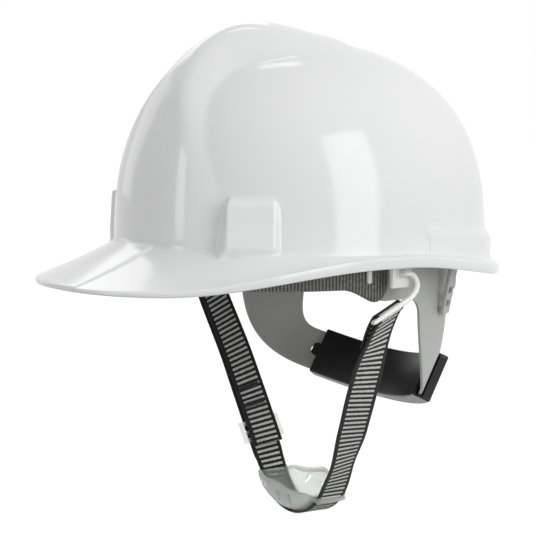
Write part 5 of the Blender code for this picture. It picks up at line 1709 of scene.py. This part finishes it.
    def bar_tack(self, form: Form, middle: Vector, across: Vector, face: Vector, along: Vector) -> None:
        """Add a dense row of stitches across the tape.

        Args:
            form: the mesh to add to.
            middle: the row's middle on the tape's face.
            across: the direction of the tape's width.
            face: the face's outward direction.
            along: the tape's direction.
        """
        reach = self.width / 2 - self.tack_margin
        for i, place in enumerate(spread(-reach, reach, 32)):
            lean = self.tack_lean if i % 2 else -self.tack_lean
            path = []
            for share in spread(-1.0, 1.0, 4):
                lift = self.tack_rise * (1 - share**4) - self.tack_sink
                aside = across * (place + lean * share * 0.4)
                path.append(middle + aside + along * share * self.tack_half + face * lift)
            form.tube(path, [self.thread_radius] * 5, 6)

    def build_buckle(self, finish: Material) -> None:
        """Build the three-bar slide between the tape's layers."""
        centre, across, face, along = self.far_frame(self.buckle_along)
        place = frame_of(centre + face * self.layer_gap() / 2, across, face, along)
        inner = self.width / 2 + 3 * self.shell.clearance
        half, near = self.buckle_length / 2, self.buckle_bar / 2
        far = half - 2 * self.buckle_bar
        xs = [-inner - self.buckle_rail, -inner, inner, inner + self.buckle_rail]
        zs = [-half, -far, -near, near, far, half]
        form = Form()
        form.ladder(xs, zs, self.buckle_bar, place)
        form.round_over(0.0006, 50.0, 4)
        fit_on(form.piece("buckle_slide", 40.0), finish, Body.BUCKLE, Slot.MILKY, "strap_buckle")

    def build(self, nylon: Material, tape: Material, thread: Material, milky: Material) -> None:
        """Build the whole strap.

        Args:
            nylon: the finish of lugs and hooks.
            tape: the tape's finish.
            thread: the stitches' finish.
            milky: the buckle's finish.
        """
        for side in Side:
            self.build_lug(side, nylon)
            self.build_hook(side, nylon)
        self.build_tape(tape, thread)
        self.build_buckle(milky)


@dataclass
class ChinCup:
    """An oval milky bowl on the tape's arc, with a rolled rim, vents and a slotted lip at each end."""

    strap: ChinStrap
    half_angle: float = radians(54.0)
    tilt: float = radians(-6.0)
    half_width: float = 0.0175
    end_share: float = 0.75
    wall: float = 0.0016
    squareness: float = 0.6
    side_rise: float = 0.016
    rear_rise: float = 0.0055
    end_rise: float = 0.1
    rim: tuple = (0.0016, 0.0008)
    rim_end: float = 0.94
    rim_shares: tuple = (1.0, 0.86, 0.5, 0.0, -0.5, -0.86, -1.0)
    rim_squareness: float = 0.7
    vent_shares: tuple = (-0.56, 0.0, 0.45)
    vent_across: float = 0.80
    vent_radius: float = 0.0018
    vent_length: float = 0.0076

    def seat(self) -> float:
        """Radius of the bowl's outer face along the middle of the tape."""
        return self.strap.arc_radius - self.strap.thickness / 2 - self.strap.shell.clearance

    def point(self, share: float, across: float, inside: float = 0.0) -> Vector:
        """Point of the bowl's outer face, or inside it, at shares from end to end and side to side."""
        swing = across * pi / 2
        wide, low = abs(sin(swing)) ** self.squareness, cos(swing) ** self.squareness
        width = self.half_width * (1 - (1 - self.end_share) * share**4) - inside * abs(sin(swing))
        rise = self.side_rise + (self.rear_rise if across > 0 else 0.0)
        radius = self.seat() - rise * (1 - (1 - self.end_rise) * share**2) * (1 - low) - inside * cos(swing)
        side = self.strap.cup_y + width * wide * (1 if across > 0 else -1)
        return self.strap.arc_point(self.tilt + self.half_angle * share, radius, side)

    def vent(self, form: Form, share: float) -> None:
        """Add the cutter of a slot through both of the bowl's walls."""
        front, rear = (self.point(share, a) for a in (-self.vent_across, self.vent_across))
        angle = self.tilt + self.half_angle * share
        along = Vector((cos(angle), 0, sin(angle)))
        inward = Vector((-sin(angle), 0, cos(angle)))
        straight = self.vent_length / 2 - self.vent_radius
        outline = []
        for swing in spread(0.0, 2 * pi, 28)[:-1]:
            shift = straight if sin(swing) > 0 else -straight
            wide = self.vent_radius * (1.0 if shift > 0 else 0.8)
            outline.append(along * wide * cos(swing) + inward * (wide * sin(swing) + shift))
        over = Vector((0, self.half_width, 0))
        form.loft([[end + p for p in outline] for end in (front - over, rear + over)])

    def build(self, finish: Material) -> None:
        """Build the bowl, cut its vents and add its rolled rim and lips."""
        shares, acrosses = spread(-1.0, 1.0, 60), spread(-1.0, 1.0, 44)
        form = Form()
        rows = []
        for share in shares:
            outer = [self.point(share, a) for a in acrosses]
            rows.append(outer + [self.point(share, a, self.wall) for a in acrosses[::-1]])
        form.loft(rows)
        bowl = form.piece("cup_bowl", 40.0)
        vents = Form()
        for share in self.vent_shares:
            self.vent(vents, share)
        reshape(bowl, [cut_by(vents.piece("cup_vents"))], 40.0)
        fit_on(bowl, finish, Body.CUP, Slot.MILKY, "chin_cup")
        self.build_rim(finish)

    def build_rim(self, finish: Material) -> None:
        """Build the rolled rim: along both sides, and outside the tape at both ends."""
        strap = self.strap
        beside = strap.width / 2 + strap.shell.clearance + self.rim[1]
        outside = strap.arc_radius + strap.thickness / 2 + strap.shell.clearance + self.rim[1]
        loop = []
        for side in Side:
            sign = -side.value
            shares = spread(-self.rim_end, self.rim_end, 40)
            loop += [self.point(share * sign, sign, self.wall / 2) for share in shares]
            angle = self.tilt + self.half_angle * sign
            for share in self.rim_shares:
                radius = outside if abs(share) < 0.95 else strap.arc_radius
                loop.append(strap.arc_point(angle, radius, strap.cup_y + beside * share * sign))
        for _ in range(3):
            pairs = list(zip(loop, loop[1:] + loop[:1]))
            loop = [p for a, b in pairs for p in (a.lerp(b, 0.25), a.lerp(b, 0.75))]
        rows = []
        for i, place in enumerate(loop):
            way = (loop[(i + 1) % len(loop)] - loop[i - 1]).normalized()
            rise = (UP - way * way.z).normalized()
            over = way.cross(rise)
            ring = []
            for turn in spread(0.0, 2 * pi, 16)[:-1]:
                power = self.rim_squareness
                up, out = (abs(f(turn)) ** power * (1 if f(turn) > 0 else -1) for f in (cos, sin))
                ring.append(place + rise * self.rim[0] * up + over * self.rim[1] * out)
            rows.append(ring)
        form = Form()
        form.sheet(rows + [rows[0]], True)
        fit_on(form.piece("cup_rim"), finish, Body.CUP, Slot.MILKY, "chin_cup")


@dataclass(frozen=True)
class Softbox:
    """A soft rectangular lamp: bearing and rise in degrees, width and height, brightness of its face."""

    name: str
    azimuth: float
    elevation: float
    size: tuple
    level: float


@dataclass
class Studio:
    """Camera at the photograph's angle, soft lamps, and a white floor and surround."""

    azimuth: float = 57.0
    elevation: float = 6.0
    distance: float = 1.2
    pixel: float = 0.000605
    frame: int = 536
    axis_pixel: tuple = (299.0, 268.0)
    sensor: float = 36.0
    floor: float = -0.1545
    floor_reach: float = 4.0
    floor_roughness: float = 0.9
    floor_colours: tuple = ("#BCBCBC", "#7A7A7A")
    floor_glow: float = 0.93
    ambient: tuple = (0.23, 0.95)
    sky: tuple = (118.0, 58.0)
    lamp_distance: float = 1.3
    lamp_aim: float = 0.05
    softboxes: tuple = (
        Softbox("side_softbox", 100.0, 17.5, (0.62, 1.2), 2.85),
        Softbox("top_softbox", -118.0, 63.0, (0.28, 0.1), 2.6),
        Softbox("front_softbox", -5.0, 12.0, (0.34, 0.7), 2.6),
        Softbox("back_softbox", -105.0, 34.5, (0.9, 0.46), 1.4),
        Softbox("far_softbox", -72.0, 15.0, (0.4, 0.7), 0.8),
    )

    def way(self, azimuth: float, elevation: float) -> Vector:
        """Direction from the object towards a place round it."""
        a, e = radians(azimuth), radians(elevation)
        return Vector((sin(a) * cos(e), -cos(a) * cos(e), sin(e)))

    def target(self) -> Vector:
        """The point that falls in the middle of the picture."""
        a = radians(self.azimuth)
        right = Vector((cos(a), sin(a), 0))
        back = self.way(self.azimuth, self.elevation)
        shift = (self.frame / 2 - self.axis_pixel[0], self.frame / 2 - self.axis_pixel[1])
        return right * shift[0] * self.pixel - back.cross(right) * shift[1] * self.pixel

    def aim(self, thing: Object, place: Vector, target: Vector) -> None:
        """Put a lamp or camera at a place, looking at a target."""
        back = (place - target).normalized()
        right = UP.cross(back).normalized()
        thing.matrix_world = frame_of(place, right, back.cross(right), back)

    def build_camera(self) -> None:
        """Add the camera."""
        lens = bpy.data.cameras.new("camera")
        lens.sensor_width = self.sensor
        lens.lens = self.sensor * self.distance / (self.frame * self.pixel)
        camera = bpy.data.objects.new("camera", lens)
        bpy.context.scene.collection.objects.link(camera)
        target = self.target()
        self.aim(camera, target + self.way(self.azimuth, self.elevation) * self.distance, target)
        bpy.context.scene.camera = camera

    def build_softbox(self, box: Softbox) -> None:
        """Add one of the lamps, out of the camera's sight."""
        lamp = bpy.data.lights.new(box.name, "AREA")
        lamp.shape = "RECTANGLE"
        lamp.size, lamp.size_y = box.size
        lamp.energy = box.level * pi * box.size[0] * box.size[1]
        made = bpy.data.objects.new(box.name, lamp)
        made.visible_camera = False
        bpy.context.scene.collection.objects.link(made)
        centre = UP * self.lamp_aim
        self.aim(made, centre + self.way(box.azimuth, box.elevation) * self.lamp_distance, centre)

    def seen(self, tree: NodeTree) -> NodeSocket:
        """Whether a ray comes from the camera, a mirror or clear plastic."""
        rays, most = add(tree, "LightPath").outputs, {"operation": "MAXIMUM"}
        either = add(tree, "Math", most, links={0: rays["Is Camera Ray"], 1: rays["Is Glossy Ray"]})
        links = {0: either.outputs[0], 1: rays["Is Transmission Ray"]}
        return add(tree, "Math", most, links=links).outputs[0]

    def build_surround(self) -> None:
        """Make the world white to the eye and dimmer as a lamp."""
        world = bpy.data.worlds.new("surround")
        bpy.context.scene.world = world
        world.use_nodes = True
        tree = world.node_tree
        lamp = tree.nodes["Background"]
        towards = add(
            tree, "VectorMath", {"operation": "DOT_PRODUCT"}, {1: self.way(*self.sky)},
            {0: add(tree, "TexCoord").outputs["Generated"]},
        )
        span = {"From Min": 0.0, "From Max": 1.0, "To Min": self.ambient[0], "To Max": self.ambient[1]}
        sky = add(tree, "MapRange", values=span, links={"Value": towards.outputs["Value"]})
        wire(tree, lamp, {"Color": WHITE}, {"Strength": sky.outputs["Result"]})
        white = add(tree, "Background", values={"Color": WHITE, "Strength": 1.0})
        links = {0: self.seen(tree), 1: lamp.outputs[0], 2: white.outputs[0]}
        mix = add(tree, "MixShader", links=links)
        wire(tree, tree.nodes["World Output"], links={"Surface": mix.outputs[0]})

    def build_floor(self) -> None:
        """Lay a pale floor that keeps the object's shadow and reads white elsewhere."""
        form = Form()
        places = spread(-self.floor_reach, self.floor_reach, 8)
        form.sheet([[Vector((x, y, self.floor)) for x in places] for y in places])
        floor = form.piece("studio_floor")
        made, tree, shader = blank("matt_white_paper")
        paper, shadow = map(linear, self.floor_colours)
        wire(tree, shader, {"Base Color": paper, "Roughness": self.floor_roughness})
        shade = add(tree, "BsdfDiffuse", values={"Color": shadow})
        glow = add(tree, "Emission", values={"Color": WHITE, "Strength": self.floor_glow})
        both = add(tree, "AddShader", links={0: shade.outputs[0], 1: glow.outputs[0]})
        links = {0: self.seen(tree), 1: shader.outputs[0], 2: both.outputs[0]}
        mix = add(tree, "MixShader", links=links)
        wire(tree, tree.nodes["Material Output"], links={"Surface": mix.outputs[0]})
        floor.data.materials.append(made)

    def build(self) -> None:
        """Set up the whole studio."""
        bpy.context.scene.view_settings.view_transform = "Standard"
        self.build_camera()
        self.build_surround()
        self.build_floor()
        for box in self.softboxes:
            self.build_softbox(box)


def main() -> None:
    """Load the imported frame, then build and dress each piece in order."""
    logging.basicConfig(level=logging.INFO, format="%(name)s: %(message)s", stream=sys.stdout)
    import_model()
    Studio().build()
    shell = Shell()
    shell.build(SHELL_WHITE.make())
    nylon, milky = NYLON_WHITE.make(), CUP_MILKY.make()
    suspension = Suspension(shell)
    suspension.build(BAND_GREY.make(), SWEAT_CLOTH.make(), nylon, CROWN_TAPE.make())
    NapeSleeve(suspension).build(SLEEVE_BLACK.make())
    strap = ChinStrap(shell)
    strap.build(nylon, CHIN_TAPE.make(), THREAD_BLACK.make(), milky)
    ChinCup(strap).build(milky)
    LOG.info("boxes written")


if __name__ == "__main__":
    main()
